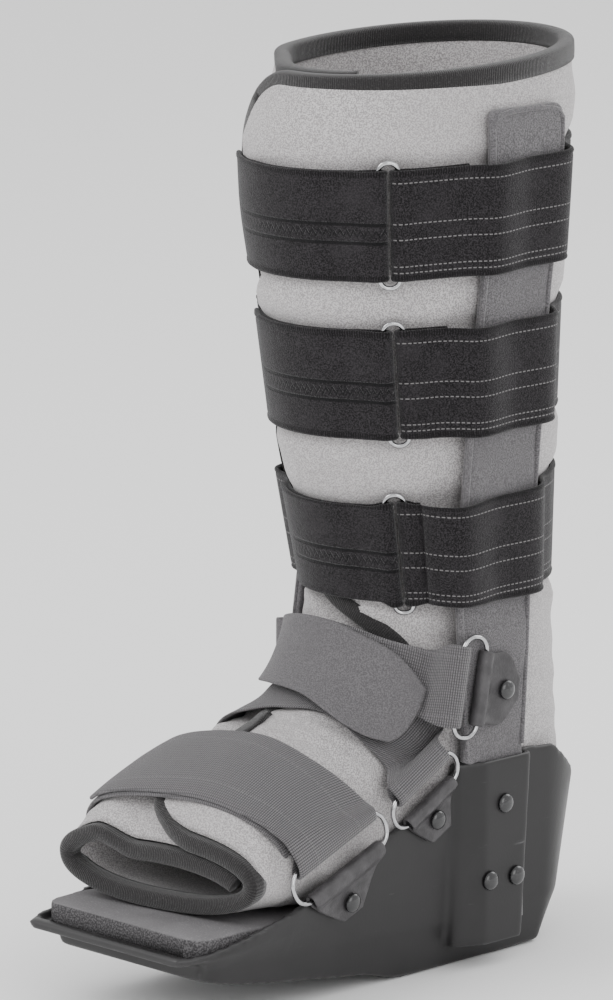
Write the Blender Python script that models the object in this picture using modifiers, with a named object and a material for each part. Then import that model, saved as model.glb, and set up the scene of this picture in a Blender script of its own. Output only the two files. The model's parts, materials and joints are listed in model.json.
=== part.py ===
"""Tall walking boot: a padded wrap liner held in a rocker sole by two uprights, straps, rings and rivets.

Metres, +Z up, toe towards -Y, the side with the buckle rings at +X.
The origin is on the floor, midway between the two uprights.
"""

import math

import bmesh
import bpy
import numpy as np
from mathutils import Vector

# Liner
LEG_HEIGHT = 0.439         # floor to the back of the rim
SHIN_REACH = 0.089         # uprights' line forward to the shin
HEEL_REACH = 0.076         # uprights' line back to the liner's heel
FOOT_REACH = 0.171         # uprights' line forward to the toe opening
INSTEP_HEIGHT = 0.163      # floor to the bend above the instep
CALF_WIDTH = 0.140
FOOT_WIDTH = 0.100
LINER_WALL = 0.0055        # padding and both cloth faces
FLAP_GAP = 0.0037          # between the near flap and the far flap tucked under it
BINDING_THICK = 0.0009

# Sole shell and footbed
SIDE_HEIGHT = 0.1015       # floor to the top of the walls beside the ankle
SHELL_WALL = 0.003
SIDE_ROOM = 0.001          # liner to shell wall at each side
HEEL_ROOM = 0.005          # liner to shell wall behind the heel
TOE_LIP = 0.0355           # sole beyond the toe opening
FOOTBED_THICK = 0.0095
FOOTBED_ROOM = 0.0008      # footbed to the heel's wall
FOOTBED_SETTLE = 0.0005    # more room under the liner, for the facets of both
FOOTBED_INSET = 0.011      # front of the lip to the front of the footbed
FOOTBED_CHAMFER = 0.0015
FOOTBED_NOSE = [(0.0, 0.006), (0.003, 0.002), (0.008, 0.0)]     # behind its front, inset of its sides there
FOOTBED_NOSE_RUN = 0.012
HOLLOW_LEAD = 0.004        # front of the shell's hollow to the front of the footbed
HOLLOW_CORNER = 0.004      # inset of the hollow's sides at its front
HOLLOW_CORNER_RUN = 0.006
HOLLOW_STEP = (0.002, 0.001)     # least heights from the floor to the wall's middle and from there to its rim

# Uprights and their channels
UPRIGHT_THICK = 0.005
UPRIGHT_WIDTH = 0.046      # padded cover above the shell
TONGUE_WIDTH = 0.031       # lower end, inside the channel
TONGUE_DEPTH = 0.0815
UPRIGHT_STAND = 0.0008     # liner to upright at the calf
UPRIGHT_TOP = 0.024        # rim to the top of the cover
CHANNEL_WIDTH = 0.048
CHANNEL_FOOT = 0.011       # floor to the channel's lower end
CHANNEL_DEPTH = 0.008      # shell's side to the channel's face
TONGUE_ROOM = 0.0004       # shell's side to the tongue in the channel
UPRIGHT_CHAMFER = 0.0012
COVER_CORNER = 0.004       # rounding of the cover's top corners, along the cover
COVER_ROUND = 0.003        # and up it

# Straps, rings, brackets and rivets
CALF_STRAP_WIDTH = 0.053
CALF_STRAP_THICK = 0.0022
TOE_STRAP_THICK = 0.002
ANKLE_STRAP_THICK = 0.0019
STRAP_LIFT = 0.0024        # liner to the first strap layer, which clears the binding
LAYER_GAP = 0.0004         # between the layers of one strap
STACK_GAP = 0.0010         # between one ankle strap and the next over it
RING_WIRE = 0.0035
CALF_RING_SPACING = 0.0092
BRACKET_THICK = 0.0016
RIVET_RADIUS = 0.0048
RIVET_HEAD = 0.0026
SHANK_RADIUS = 0.0018
RIVET_BITE = 0.0018        # shank beyond the pieces it holds, into what carries them
CHANNEL_BITE = 0.0055      # shank through the channel's face into the upright
RING_ROOM = 0.0015         # ring's inside beyond the strap's width
STRAP_TAIL = 0.007         # strap end sewn back under the ring's bar
WALL_PATCH = 0.008         # height over which a bracket or strap end bears on the wall

GAP = 0.0003               # between pieces that touch
MERGE = 0.00001
RIVET_SIDES = 9
HOLE_RUN = 0.0005          # rivet hole beyond the shank's end
COVER_MARGIN = 0.0038      # from the cover's edges to where a calf strap comes down beside it
COVER_ROOM = 0.0005        # more room over an upright's cover, for its facets
CALF_SEWN_GAP = 2          # degrees from the sewn end of the under layer to the upright
CALF_TURN = 9.5            # degrees from the ring's middle to where the strap lies on the liner
CALF_FOLD_RISE = 0.0024    # rise of the outer layer where it leaves the ring
CALF_SEWN_RISE = 0.001     # and where its end is sewn to the strap
CALF_DROP = 12             # degrees from an upright to where the strap is back on the liner
CALF_STEP = 8              # degrees from the fold at the ring to the next row
TOE_FOLD_RISE = 0.003      # rise of each strap's rows over the ring's fold or the strap below
LOW_FOLD_RISE = 0.0015
HIGH_FOLD_RISES = (0.002, 0.0005)
OVER_RISES = (0.003, 0.002, 0.001, 0.001)

SHELL_HALF = FOOT_WIDTH / 2 + SIDE_ROOM + SHELL_WALL
SHELL_HEEL = HEEL_REACH + HEEL_ROOM + SHELL_WALL
SOLE_REACH = FOOT_REACH + TOE_LIP
CHANNEL_STAND = SHELL_HALF + CHANNEL_DEPTH

# Liner sections from the rim (station 0) to the toe opening (station 14).
# Shares: y of SHIN_REACH on the leg and FOOT_REACH on the foot when forward, of HEEL_REACH when back;
# z of LEG_HEIGHT on the leg, INSTEP_HEIGHT on the foot; half width of half CALF_WIDTH or FOOT_WIDTH;
# swing, by which the near side lies behind the far side, of FOOT_REACH.
# Columns: front y, front z, back y, back z, half width, squareness above, squareness below, swing
LEG_SECTIONS = [
    (-0.910, 0.975, 1.039, 1.000, 0.971, 2.0, 2.0, 0.0),
    (-1.000, 0.904, 1.013, 0.909, 1.000, 2.0, 2.0, 0.0),
    (-0.910, 0.718, 0.974, 0.718, 0.914, 2.0, 2.0, 0.0),
    (-0.798, 0.574, 0.954, 0.574, 0.857, 2.0, 2.0, 0.0),
    (-0.618, 0.428, 0.947, 0.419, 0.771, 2.05, 2.0, 0.0),
]
FOOT_SECTIONS = [
    (-0.319, 1.000, 0.974, 0.859, 1.030, 2.1, 2.0, 0.0),
    (-0.357, 0.911, 1.000, 0.644, 1.010, 2.2, 2.1, 0.0),
    (-0.406, 0.850, 1.000, 0.442, 1.000, 2.3, 2.3, 0.0),
    (-0.465, 0.807, 0.842, 0.282, 0.975, 2.4, 2.5, 0.0),
    (-0.532, 0.782, 0.395, 0.236, 0.960, 2.5, 2.8, 0.0),
    (-0.614, 0.758, -0.146, 0.236, 0.965, 2.5, 2.8, 0.0),
    (-0.713, 0.724, -0.468, 0.245, 1.000, 2.4, 2.7, 0.006),
    (-0.830, 0.672, -0.713, 0.264, 1.060, 2.3, 2.6, 0.023),
    (-0.936, 0.598, -0.865, 0.279, 1.100, 2.2, 2.4, 0.041),
    (-1.000, 0.521, -0.988, 0.294, 1.120, 2.1, 2.3, 0.053),
]

# Angle in degrees of the near flap's edge and of the far flap's hidden end, at each station.
# Angles run from the front (0) over the near side (90), the back (180) and the far side (270).
NEAR_EDGE = [-38, -41, -46, -46, -25, 26, 46, 42, 8, -6, -4, -4, -5, -7, -6]
FAR_END = [25, 25, 22, 22, 45, 62, 75, 72, 50, 36, 32, 30, 28, 26, 24]
TUCK_MARGIN = 6            # degrees by which the tuck is complete before the near edge
TUCK_RUN = 30
RIM_CORNER = (5, 1.0, 3.0)       # angle where the corner starts, its drop in stations, where it fades
TOE_CORNER = (22, -0.75, 12.0)

# Shell sections from the toe lip to the heel centre.
# Shares: y of SOLE_REACH forward and SHELL_HEEL back, half widths of SHELL_HALF, z of SIDE_HEIGHT.
# Columns: y, then half width and z at the bottom, the crease, the middle and the rim
SHELL_SECTIONS = [
    (-1.000, 0.889, 0.345, 0.907, 0.353, 0.926, 0.363, 0.935, 0.384),
    (-0.959, 0.926, 0.335, 0.944, 0.343, 1.000, 0.357, 1.019, 0.386),
    (-0.923, 0.889, 0.325, 0.926, 0.333, 1.026, 0.355, 1.046, 0.392),
    (-0.915, 0.870, 0.241, 0.917, 0.305, 1.030, 0.355, 1.050, 0.394),
    (-0.862, 0.889, 0.210, 0.935, 0.296, 1.061, 0.365, 1.083, 0.414),
    (-0.799, 0.889, 0.183, 0.944, 0.286, 1.070, 0.379, 1.093, 0.441),
    (-0.668, 0.880, 0.138, 0.944, 0.266, 1.037, 0.394, 1.059, 0.491),
    (-0.533, 0.861, 0.099, 0.935, 0.251, 0.990, 0.443, 1.010, 0.581),
    (-0.383, 0.852, 0.055, 0.930, 0.241, 0.978, 0.493, 0.996, 0.690),
    (-0.305, 0.852, 0.012, 0.931, 0.237, 0.977, 0.540, 0.996, 0.773),
    (-0.266, 0.852, 0.000, 0.935, 0.236, 0.976, 0.563, 0.996, 0.813),
    (-0.097, 0.852, 0.000, 0.941, 0.236, 0.978, 0.631, 1.000, 1.000),
    (0.238, 0.852, 0.000, 0.944, 0.238, 0.981, 0.631, 1.000, 1.000),
    (0.452, 0.852, 0.006, 0.944, 0.241, 0.981, 0.631, 1.000, 0.985),
]
HEEL_ANGLES = [4, 23, 42, 60, 76, 90]
HEEL_DEPTHS = [0.107, 0.369, 0.500, 0.548]      # beyond the last section, shares of SHELL_HEEL
HEEL_RIM = [(0.452, 0.985), (0.488, 0.985), (0.821, 0.778), (1.000, 0.749)]
HEEL_LIFT = 0.034          # rise of the bottom edge behind the heel, share of SIDE_HEIGHT

# Channel outline in plan: share of half CHANNEL_WIDTH from its centre, and share of its stand-off
CHANNEL_CENTRE = -0.1875   # share of half CHANNEL_WIDTH
CHANNEL_OUTLINE = [(-1.021, 0.0), (-0.896, 0.375), (-0.417, 1.0),
                   (0.875, 1.0), (0.958, 0.625), (0.979, 0.0)]
CHANNEL_TAPER = 0.25       # by which the rear edge comes forward at the channel's foot

# Upright covers: z as a share of LEG_HEIGHT, front and rear edge as shares of UPRIGHT_WIDTH
COVER_SECTIONS = [
    (0.253, -0.559, 0.311),
    (0.365, -0.630, 0.370),
    (0.581, -0.674, 0.370),
    (0.752, -0.587, 0.400),
    (0.900, -0.576, 0.460),
    (0.938, -0.576, 0.480),
]

# Calf straps: liner station of the centre line at the front and at the back, angle of the ring's middle,
# and points across the strap
CALF_STRAPS = {
    "top": (1.435, 1.355, 43, 3),
    "mid": (2.460, 2.395, 43, 2),
    "low": (3.775, 3.650, 38, 2),
}
CALF_TAB_ANGLE = -42       # end of the folded-back layer

# Instep straps, from the near end to the far side: liner station and angle of both edges
TOE_STRAP = [
    (12.88, 72, 10.42, 75),
    (12.93, 62, 10.45, 64),
    (13.02, 38, 10.57, 40),
    (13.10, 14, 10.66, 14),
    (13.20, -10, 11.05, -10),
    (13.20, -34, 11.25, -34),
    (13.10, -58, 11.15, -58),
    (13.00, -80, 11.10, -80),
]
ANKLE_LOWER = [
    (9.25, 64, 7.05, 65),
    (8.85, 44, 6.50, 46),
    (8.50, 30, 6.00, 30),
    (8.30, 14, 5.70, 14),
    (8.75, 0, 6.00, 0),
    (9.30, -12, 6.60, -12),
    (9.70, -30, 7.50, -30),
    (10.00, -52, 8.00, -52),
    (10.10, -70, 8.30, -70),
]
ANKLE_UPPER = [
    (7.10, 50, 5.16, 50),
    (7.10, 34, 5.05, 34),
    (7.30, 16, 4.88, 16),
    (7.40, -2, 4.80, -2),
    (7.30, -20, 4.85, -20),
    (7.10, -38, 5.00, -38),
    (7.10, -56, 5.10, -56),
]
ANKLE_OVER = [
    (8.50, 51, 6.20, 51),
    (8.75, 43, 5.75, 44),
    (8.65, 32, 5.30, 34),
    (8.30, 20, 4.98, 20),
    (7.75, 4, 4.78, 4),
    (7.55, -14, 4.80, -14),
    (7.35, -34, 4.95, -34),
    (7.10, -56, 5.10, -56),
]

# Brackets on the near side. Columns: rivet y and z, tilt of the fold and inward lean of the ring in
# degrees, rivet to fold, spacing of the ring's bars, strap width in the ring,
# and the outline as (distance from the fold, half width)
BRACKETS = {
    "toe": (-0.5906 * FOOT_REACH, 0.4768 * SIDE_HEIGHT, 21.4, 14, 0.0200, 0.0170, 0.054,
            [(0, 0.0250), (0.012, 0.0205), (0.027, 0.007)]),
    "low": (-0.2526 * FOOT_REACH, 0.7635 * SIDE_HEIGHT, 29.0, 0, 0.0140, 0.0160, 0.037,
            [(0, 0.0170), (0.009, 0.0150), (0.023, 0.007)]),
    "high": (-0.0587 * UPRIGHT_WIDTH, 0.8282 * INSTEP_HEIGHT, 78.9, 4, 0.0208, 0.0147, 0.039,
             [(0, 0.0180), (0.010, 0.0172), (0.022, 0.0160), (0.030, 0.006)]),
}

# Far ends of the instep straps: rivet y and z, tilt in degrees,
# and the strap's end as (distance before the rivet, half width)
FAR_TOE = (-0.7485 * FOOT_REACH, 0.4433 * SIDE_HEIGHT, 12.0,
           [(0.0150, 0.0200), (0.007, 0.0160), (-0.007, 0.0140)])
FAR_LOW = (-0.2807 * FOOT_REACH, 0.7094 * SIDE_HEIGHT, 20.0,
           [(0.0220, 0.0160), (0.007, 0.0140), (-0.007, 0.0120)])
FAR_HIGH = (-0.0652 * UPRIGHT_WIDTH, 0.8405 * INSTEP_HEIGHT, 90.0,
            [(0.0275, 0.0175), (0.007, 0.0150), (-0.007, 0.0130)])

# Rivets through each channel: y as a share of CHANNEL_WIDTH, z of SIDE_HEIGHT
CHANNEL_RIVETS = [(-0.0313, 0.7783), (-0.2396, 0.4197), (0.1375, 0.4138)]

X = np.array([1.0, 0.0, 0.0])


def unit(v):
    v = np.asarray(v, float)
    return v / np.linalg.norm(v, axis=-1, keepdims=True)


def smooth(knots, values, at):
    """A cubic through the values, with its slope at each knot taken from the neighbours."""
    knots = np.asarray(knots, float)
    values = np.asarray(values, float)
    slope = np.gradient(values, knots)
    i = np.clip(np.searchsorted(knots, at) - 1, 0, len(knots) - 2)
    step = knots[i + 1] - knots[i]
    t = (at - knots[i]) / step
    return ((2 * t**3 - 3 * t**2 + 1) * values[i] + (t**3 - 2 * t**2 + t) * step * slope[i]
            + (3 * t**2 - 2 * t**3) * values[i + 1] + (t**3 - t**2) * step * slope[i + 1])


# Liner surface

def liner_sections():
    """Sections in metres: front y, front z, back y, back z, half width, two squarenesses, swing."""
    rows = []
    groups = ((LEG_SECTIONS, SHIN_REACH, LEG_HEIGHT, CALF_WIDTH / 2),
              (FOOT_SECTIONS, FOOT_REACH, INSTEP_HEIGHT, FOOT_WIDTH / 2))
    for table, reach, height, half in groups:
        for front_y, front_z, back_y, back_z, width, above, below, swing in table:
            back = back_y * (HEEL_REACH if back_y > 0 else reach)
            rows.append((front_y * reach, front_z * height, back, back_z * height,
                         width * half, above, below, swing * FOOT_REACH))
    return np.array(rows)


SECTIONS = liner_sections()
STATIONS = np.arange(len(SECTIONS), dtype=float)
LAST = STATIONS[-1]
SPINE = (SECTIONS[:, 0:2] + SECTIONS[:, 2:4]) / 2
ALONG = np.concatenate([[0.0], np.cumsum(np.linalg.norm(np.diff(SPINE, axis=0), axis=1))])


def liner_point(station, angle, off):
    """Point at a height off the liner's outer face; angle in degrees from the front over +X."""
    station, angle, off = np.broadcast_arrays(*[np.asarray(v, float) for v in (station, angle, off)])
    inside = np.clip(station, 0, LAST)
    along = np.interp(inside, STATIONS, ALONG) + (station - inside) * ALONG[-1] / LAST
    front_y, front_z, back_y, back_z, half, above, below, swing = [
        smooth(ALONG, SECTIONS[:, k], along) for k in range(8)]
    turn = np.radians(angle)
    power = 2 / np.where(np.cos(turn) < 0, below, above)
    side = np.sign(np.sin(turn)) * np.abs(np.sin(turn))**power
    fore = np.sign(np.cos(turn)) * np.abs(np.cos(turn))**power
    depth = np.hypot(front_y - back_y, front_z - back_z) / 2
    normal_side = np.sin(turn) / half
    normal_fore = np.cos(turn) / depth
    length = np.hypot(normal_side, normal_fore)
    x = half * side + off * normal_side / length
    reach = (depth * fore + off * normal_fore / length) / depth
    y = (front_y + back_y) / 2 + (front_y - back_y) / 2 * reach + swing * x / half
    z = (front_z + back_z) / 2 + (front_z - back_z) / 2 * reach
    return np.stack([x, y, z], axis=-1)


def liner_normal(station, angle):
    return unit(liner_point(station, angle, 0.001) - liner_point(station, angle, 0.0))


def wrap_point(u, station, off):
    """Point of the wrap: u runs from the near flap's edge round the back to the far flap's end."""
    u, station, off = np.broadcast_arrays(*[np.asarray(v, float) for v in (u, station, off)])
    start = smooth(STATIONS, NEAR_EDGE, station)
    end = 360 + smooth(STATIONS, FAR_END, station)
    angle = start + (end - start) * u
    tucked = np.clip((angle - (360 + start - TUCK_MARGIN - TUCK_RUN)) / TUCK_RUN, 0, 1)
    tucked = tucked * tucked * (3 - 2 * tucked)
    rim_from, rim_drop, rim_fade = RIM_CORNER
    toe_from, toe_drop, toe_fade = TOE_CORNER
    rim_share = np.clip((rim_from - angle) / (rim_from - start), 0, None)**2
    toe_share = np.clip((toe_from - angle) / (toe_from - start), 0, None)**2
    shift = rim_drop * rim_share * np.clip(1 - station / rim_fade, 0, None)**2
    shift = shift + toe_drop * toe_share * np.clip((station - toe_fade) / (LAST - toe_fade), 0, None)**2
    return liner_point(station + shift, angle, off - tucked * (LINER_WALL + FLAP_GAP))


# Shell surface

def ahead(share):
    return share * (SOLE_REACH if share < 0 else SHELL_HEEL)


SHELL_Y = np.array([ahead(row[0]) for row in SHELL_SECTIONS])
SHELL_HALVES = np.array([row[1::2] for row in SHELL_SECTIONS]) * SHELL_HALF
SHELL_ZS = np.array([row[2::2] for row in SHELL_SECTIONS]) * SIDE_HEIGHT


def shell_levels(y):
    """Half widths and heights of the bottom, crease, middle and rim at one y."""
    halves = np.array([np.interp(y, SHELL_Y, SHELL_HALVES[:, k]) for k in range(4)])
    heights = np.array([np.interp(y, SHELL_Y, SHELL_ZS[:, k]) for k in range(4)])
    return halves, heights


def shell_half(y, z):
    halves, heights = shell_levels(y)
    return float(np.interp(z, heights, halves))


def heel_levels(turn):
    """Plan positions (half width, y) and heights of the four levels round the heel."""
    halves, heights = shell_levels(SHELL_Y[-1])
    y = SHELL_Y[-1] + np.array(HEEL_DEPTHS) * SHELL_HEEL * math.sin(turn)
    heights = heights.copy()
    heights[0] += HEEL_LIFT * SIDE_HEIGHT * math.sin(turn)**2
    rim_y, rim_z = np.array(HEEL_RIM).T
    heights[3] = np.interp(y[3], rim_y * SHELL_HEEL, rim_z * SIDE_HEIGHT)
    return halves * math.cos(turn), y, heights


UNDERSIDE = liner_point(np.linspace(8, LAST, 80), 180, 0.0)[::-1]


def floor_height(y):
    """Shell's inner floor: the liner's underside less the footbed and its gaps."""
    sole = np.interp(min(y, HEEL_REACH * 0.4), UNDERSIDE[:, 1], UNDERSIDE[:, 2])
    toe = np.interp(y, [-FOOT_REACH, -FOOT_REACH * 0.85], [BINDING_THICK + GAP, 0.0])
    return float(sole - toe - FOOTBED_THICK - 2 * GAP - FOOTBED_SETTLE)


# Mesh helpers

def new_object(name, mesh, group, material):
    obj = bpy.data.objects.new(name, mesh)
    group.objects.link(obj)
    if material is not None:
        mesh.materials.append(material)
    return obj


def finish_mesh(name, bm):
    bmesh.ops.remove_doubles(bm, verts=bm.verts, dist=MERGE)
    bmesh.ops.dissolve_degenerate(bm, edges=bm.edges, dist=MERGE)
    bmesh.ops.recalc_face_normals(bm, faces=bm.faces)
    bmesh.ops.triangulate(bm, faces=bm.faces, quad_method="SHORT_EDGE")
    mesh = bpy.data.meshes.new(name)
    bm.to_mesh(mesh)
    bm.free()
    mesh.shade_smooth()
    mesh.set_sharp_from_angle(angle=math.radians(35))
    return mesh


def loft(name, rings, group, material):
    """Closed body over rings of equal count, capped at both ends."""
    bm = bmesh.new()
    rows = [[bm.verts.new(p) for p in ring] for ring in rings]
    for lower, upper in zip(rows, rows[1:]):
        for k in range(len(lower)):
            j = (k + 1) % len(lower)
            bm.faces.new((lower[k], lower[j], upper[j], upper[k]))
    bm.faces.new(rows[0][::-1])
    bm.faces.new(rows[-1])
    return new_object(name, finish_mesh(name, bm), group, material)


def sheet(name, outer, inner, group, material):
    """Closed body between two grids of points, joined along their four borders."""
    bm = bmesh.new()
    front = [[bm.verts.new(p) for p in row] for row in outer]
    back = [[bm.verts.new(p) for p in row] for row in inner]
    rows, columns = len(front), len(front[0])
    for i in range(rows - 1):
        for j in range(columns - 1):
            bm.faces.new((front[i][j], front[i][j + 1], front[i + 1][j + 1], front[i + 1][j]))
            bm.faces.new((back[i][j], back[i + 1][j], back[i + 1][j + 1], back[i][j + 1]))
    border = [(0, j) for j in range(columns)] + [(i, columns - 1) for i in range(1, rows)]
    border += [(rows - 1, j) for j in range(columns - 2, -1, -1)] + [(i, 0) for i in range(rows - 2, 0, -1)]
    for (a, b), (c, d) in zip(border, border[1:] + border[:1]):
        bm.faces.new((front[a][b], back[a][b], back[c][d], front[c][d]))
    return new_object(name, finish_mesh(name, bm), group, material)


def cut(obj, cutter, operation="DIFFERENCE"):
    modifier = obj.modifiers.new(cutter.name, "BOOLEAN")
    modifier.operation = operation
    modifier.solver = "EXACT"
    modifier.object = cutter


def guide(obj):
    obj.hide_render = True
    obj.display_type = "WIRE"
    return obj


def material(name, colour, roughness, metallic=0.0):
    made = bpy.data.materials.new(name)
    made.use_nodes = True
    shader = made.node_tree.nodes["Principled BSDF"]
    shader.inputs["Base Color"].default_value = (*colour, 1.0)
    shader.inputs["Roughness"].default_value = roughness
    shader.inputs["Metallic"].default_value = metallic
    return made


# Liner, binding, shell, footbed and uprights

LINER_COLUMNS = np.concatenate([[0, 0.018], np.linspace(0.05, 0.95, 25), [0.98, 1]])
LINER_ROWS = np.array([0, 0.25, 1, 2, 3, 3.6, 4.1, 4.5, 4.9, 5.3, 5.7,
                       6.2, 6.8, 7.4, 8, 8.7, 9.5, 10.5, 11.5, 12.6, 13.45, 14])


def make_liner(group, made):
    u, v = np.meshgrid(LINER_COLUMNS, LINER_ROWS)
    sheet("liner", wrap_point(u, v, 0.0), wrap_point(u, v, -LINER_WALL), group, made)


def make_binding(group, made):
    """U-shaped edging along the rim, down the near flap's edge and round the toe opening.

    Its inner faces follow the liner's first row or column of facets, so that the gap stays even.
    """
    beside = LINER_COLUMNS[1]
    below, above = LINER_ROWS[1], LINER_ROWS[-2]
    path = [(u, 0.0, u, below) for u in LINER_COLUMNS[:0:-1]] + [(0.0, 0.0, beside, below)]
    path += [(0.0, v, beside, v) for v in LINER_ROWS[1:-1]] + [(0.0, LAST, beside, above)]
    path += [(u, LAST, u, above) for u in LINER_COLUMNS[1:]]
    room = GAP + BINDING_THICK
    profile = [(1, GAP), (1, room), (0, room), (0, -LINER_WALL - room), (1, -LINER_WALL - room),
               (1, -LINER_WALL - GAP), (0, -LINER_WALL - GAP), (0, GAP)]
    rings = []
    for u, v, inner_u, inner_v in path:
        deep = [wrap_point(inner_u, inner_v, off) for _, off in profile]
        edge = [wrap_point(u, v, off) for _, off in profile]
        ring = []
        for (inside, off), far, near in zip(profile, deep, edge):
            away = unit(near - far)
            beyond = room if off in (room, -LINER_WALL - room) else GAP
            ring.append(far if inside else near + away * beyond)
        rings.append(ring)
    loft("liner_binding", rings, group, made)


def make_shell(group, cutters, made):
    def ring(halves, ys, heights):
        near = [(half, y, z) for half, y, z in zip(halves, ys, heights)]
        return near + [(-half, y, z) for half, y, z in reversed(near)]

    outer = [ring(SHELL_HALVES[k], [SHELL_Y[k]] * 4, SHELL_ZS[k]) for k in range(len(SHELL_Y))]
    for degrees in HEEL_ANGLES:
        outer.append(ring(*heel_levels(math.radians(degrees))))
    shell = loft("boot_shell", outer, group, made)

    inner = []
    front = -SOLE_REACH + FOOTBED_INSET - HOLLOW_LEAD
    for y in [front, front + HOLLOW_LEAD] + list(SHELL_Y[SHELL_Y > front + HOLLOW_CORNER_RUN]):
        inner.append(ring(*inner_levels(y)))
    for degrees in HEEL_ANGLES:
        inner.append(ring(*inner_heel(math.radians(degrees))))
    hollow = guide(loft("shell_hollow", inner, cutters, None))

    for name, side in (("near", 1), ("far", -1)):
        cut(shell, guide(loft("channel_" + name, channel_rings(side), cutters, None)), "UNION")
    cut(shell, hollow)
    for name, side in (("near", 1), ("far", -1)):
        cut(shell, guide(loft("pocket_" + name, pocket_rings(side), cutters, None)))
    return shell


def inner_levels(y):
    """Hollow's half widths, ys and heights: floor, middle, rim and well above the rim."""
    floor = floor_height(y)
    halves, heights = shell_levels(y)
    middle = max(heights[2], floor + HOLLOW_STEP[0])
    rim = max(heights[3], middle + HOLLOW_STEP[1])
    levels = [shell_half(y, floor), shell_half(y, middle), halves[3], halves[3]]
    from_front = y + SOLE_REACH - FOOTBED_INSET + HOLLOW_LEAD
    corner = HOLLOW_CORNER * max(0.0, 1 - from_front / HOLLOW_CORNER_RUN)
    zs = [floor, middle, rim, rim + SIDE_HEIGHT * 0.3]
    return [half - SHELL_WALL - corner for half in levels], [y] * 4, zs


def inner_heel(turn):
    halves, ys, heights = heel_levels(turn)
    depths = ys - SHELL_Y[-1]
    full, levels = shell_levels(SHELL_Y[-1])
    floor = floor_height(SHELL_Y[-1])
    share = (floor - heights[1]) / (heights[2] - heights[1])
    at_floor = full[1] + (full[2] - full[1]) * share
    depth_at_floor = depths[1] + (depths[2] - depths[1]) * share
    wall_x = SHELL_WALL * math.cos(turn)
    wall_y = SHELL_WALL * math.sin(turn)
    out = [at_floor * math.cos(turn), halves[2], halves[3], halves[3]]
    back = [depth_at_floor, depths[2], depths[3], depths[3]]
    zs = [floor, heights[2], heights[3], heights[3] + SIDE_HEIGHT * 0.3]
    return [h - wall_x for h in out], [SHELL_Y[-1] + d - wall_y for d in back], zs


def channel_rings(side):
    half = CHANNEL_WIDTH / 2
    stand = CHANNEL_STAND - SHELL_HALF
    root = SHELL_HALF * 0.83
    rings = []
    for z, taper in ((CHANNEL_FOOT, CHANNEL_TAPER), (SIDE_HEIGHT, 0.0)):
        outline = [(root, CHANNEL_OUTLINE[0][0])]
        outline += [(SHELL_HALF + out * stand, y) for y, out in CHANNEL_OUTLINE]
        outline += [(root, CHANNEL_OUTLINE[-1][0])]
        rings.append([(side * x, (y + CHANNEL_CENTRE - (taper if y > 0 else 0.0)) * half, z)
                      for x, y in outline])
    return rings


def tongue_box(room):
    """Corners of the upright's lower end, or with room of the pocket it seats in."""
    x = SHELL_HALF + TONGUE_ROOM
    return (x - room, x + UPRIGHT_THICK + room, -TONGUE_WIDTH / 2 - room, TONGUE_WIDTH / 2 + room,
            SIDE_HEIGHT - TONGUE_DEPTH - room)


def pocket_rings(side):
    x0, x1, y0, y1, z0 = tongue_box(GAP)
    outline = [(x0, y0), (x1, y0), (x1, y1), (x0, y1)]
    return [[(side * x, y, z) for x, y in outline] for z in (z0, SIDE_HEIGHT * 1.1)]


def make_footbed(group, made):
    front = -SOLE_REACH + FOOTBED_INSET
    rings = []

    def ring(half, y, floor):
        low = floor + GAP
        top = low + FOOTBED_THICK
        near = [(half, y, low), (half, y, top - FOOTBED_CHAMFER), (half - FOOTBED_CHAMFER, y, top)]
        return near + [(-x, y, z) for x, y, z in reversed(near)]

    for behind, inset in FOOTBED_NOSE:
        y = front + behind
        rings.append(ring(inner_levels(y)[0][0] - GAP - inset, y, floor_height(y)))
    for y in SHELL_Y[SHELL_Y > front + FOOTBED_NOSE_RUN]:
        rings.append(ring(inner_levels(y)[0][0] - GAP, y, floor_height(y)))
    for degrees in HEEL_ANGLES[1:-1]:
        turn = math.radians(degrees)
        halves, ys, heights = inner_heel(turn)
        rings.append(ring(halves[0] - FOOTBED_ROOM, ys[0] - FOOTBED_ROOM, heights[0]))
    loft("footbed_pad", rings, group, made)


def side_half(z):
    """Liner's half width beside an upright at height z."""
    line = liner_point(np.linspace(0, 6, 60), 90, 0.0)
    return np.interp(z, line[::-1, 2], line[::-1, 0])


def cover_inner(z):
    return np.maximum(SHELL_HALF + TONGUE_ROOM, side_half(z) + UPRIGHT_STAND)


def cover_edges(z):
    zs, fronts, rears = np.array(COVER_SECTIONS).T
    zs = zs * LEG_HEIGHT
    return smooth(zs, fronts * UPRIGHT_WIDTH, z), smooth(zs, rears * UPRIGHT_WIDTH, z)


def make_upright(name, side, group, made):
    def ring(x, y0, y1, z):
        chamfer = UPRIGHT_CHAMFER
        x1 = x + UPRIGHT_THICK
        outline = [(x, y0 + chamfer), (x + chamfer, y0), (x1 - chamfer, y0), (x1, y0 + chamfer),
                   (x1, y1 - chamfer), (x1 - chamfer, y1), (x + chamfer, y1), (x, y1 - chamfer)]
        return [(side * px, py, z) for px, py in outline]

    x, _, y0, y1, bottom = tongue_box(0.0)
    shoulder = SIDE_HEIGHT + GAP
    rings = [ring(x, y0, y1, bottom), ring(x, y0, y1, shoulder)]
    top = LEG_HEIGHT - UPRIGHT_TOP
    for z in [shoulder + GAP, *np.linspace(SIDE_HEIGHT * 1.09, top - COVER_ROUND, 12)]:
        front, rear = cover_edges(max(z, COVER_SECTIONS[0][0] * LEG_HEIGHT))
        rings.append(ring(float(cover_inner(z)), front, rear, z))
    front, rear = cover_edges(top)
    rings.append(ring(float(cover_inner(top)), front + COVER_CORNER, rear - COVER_CORNER, top))
    return loft(name, rings, group, made)


# Ribbons: rows of points across the strap with the direction of its thickness at each

def ribbon(name, rows, thick, group, made):
    outer = [points + normals * thick / 2 for points, normals in rows]
    inner = [points - normals * thick / 2 for points, normals in rows]
    return sheet(name, outer, inner, group, made)


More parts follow.
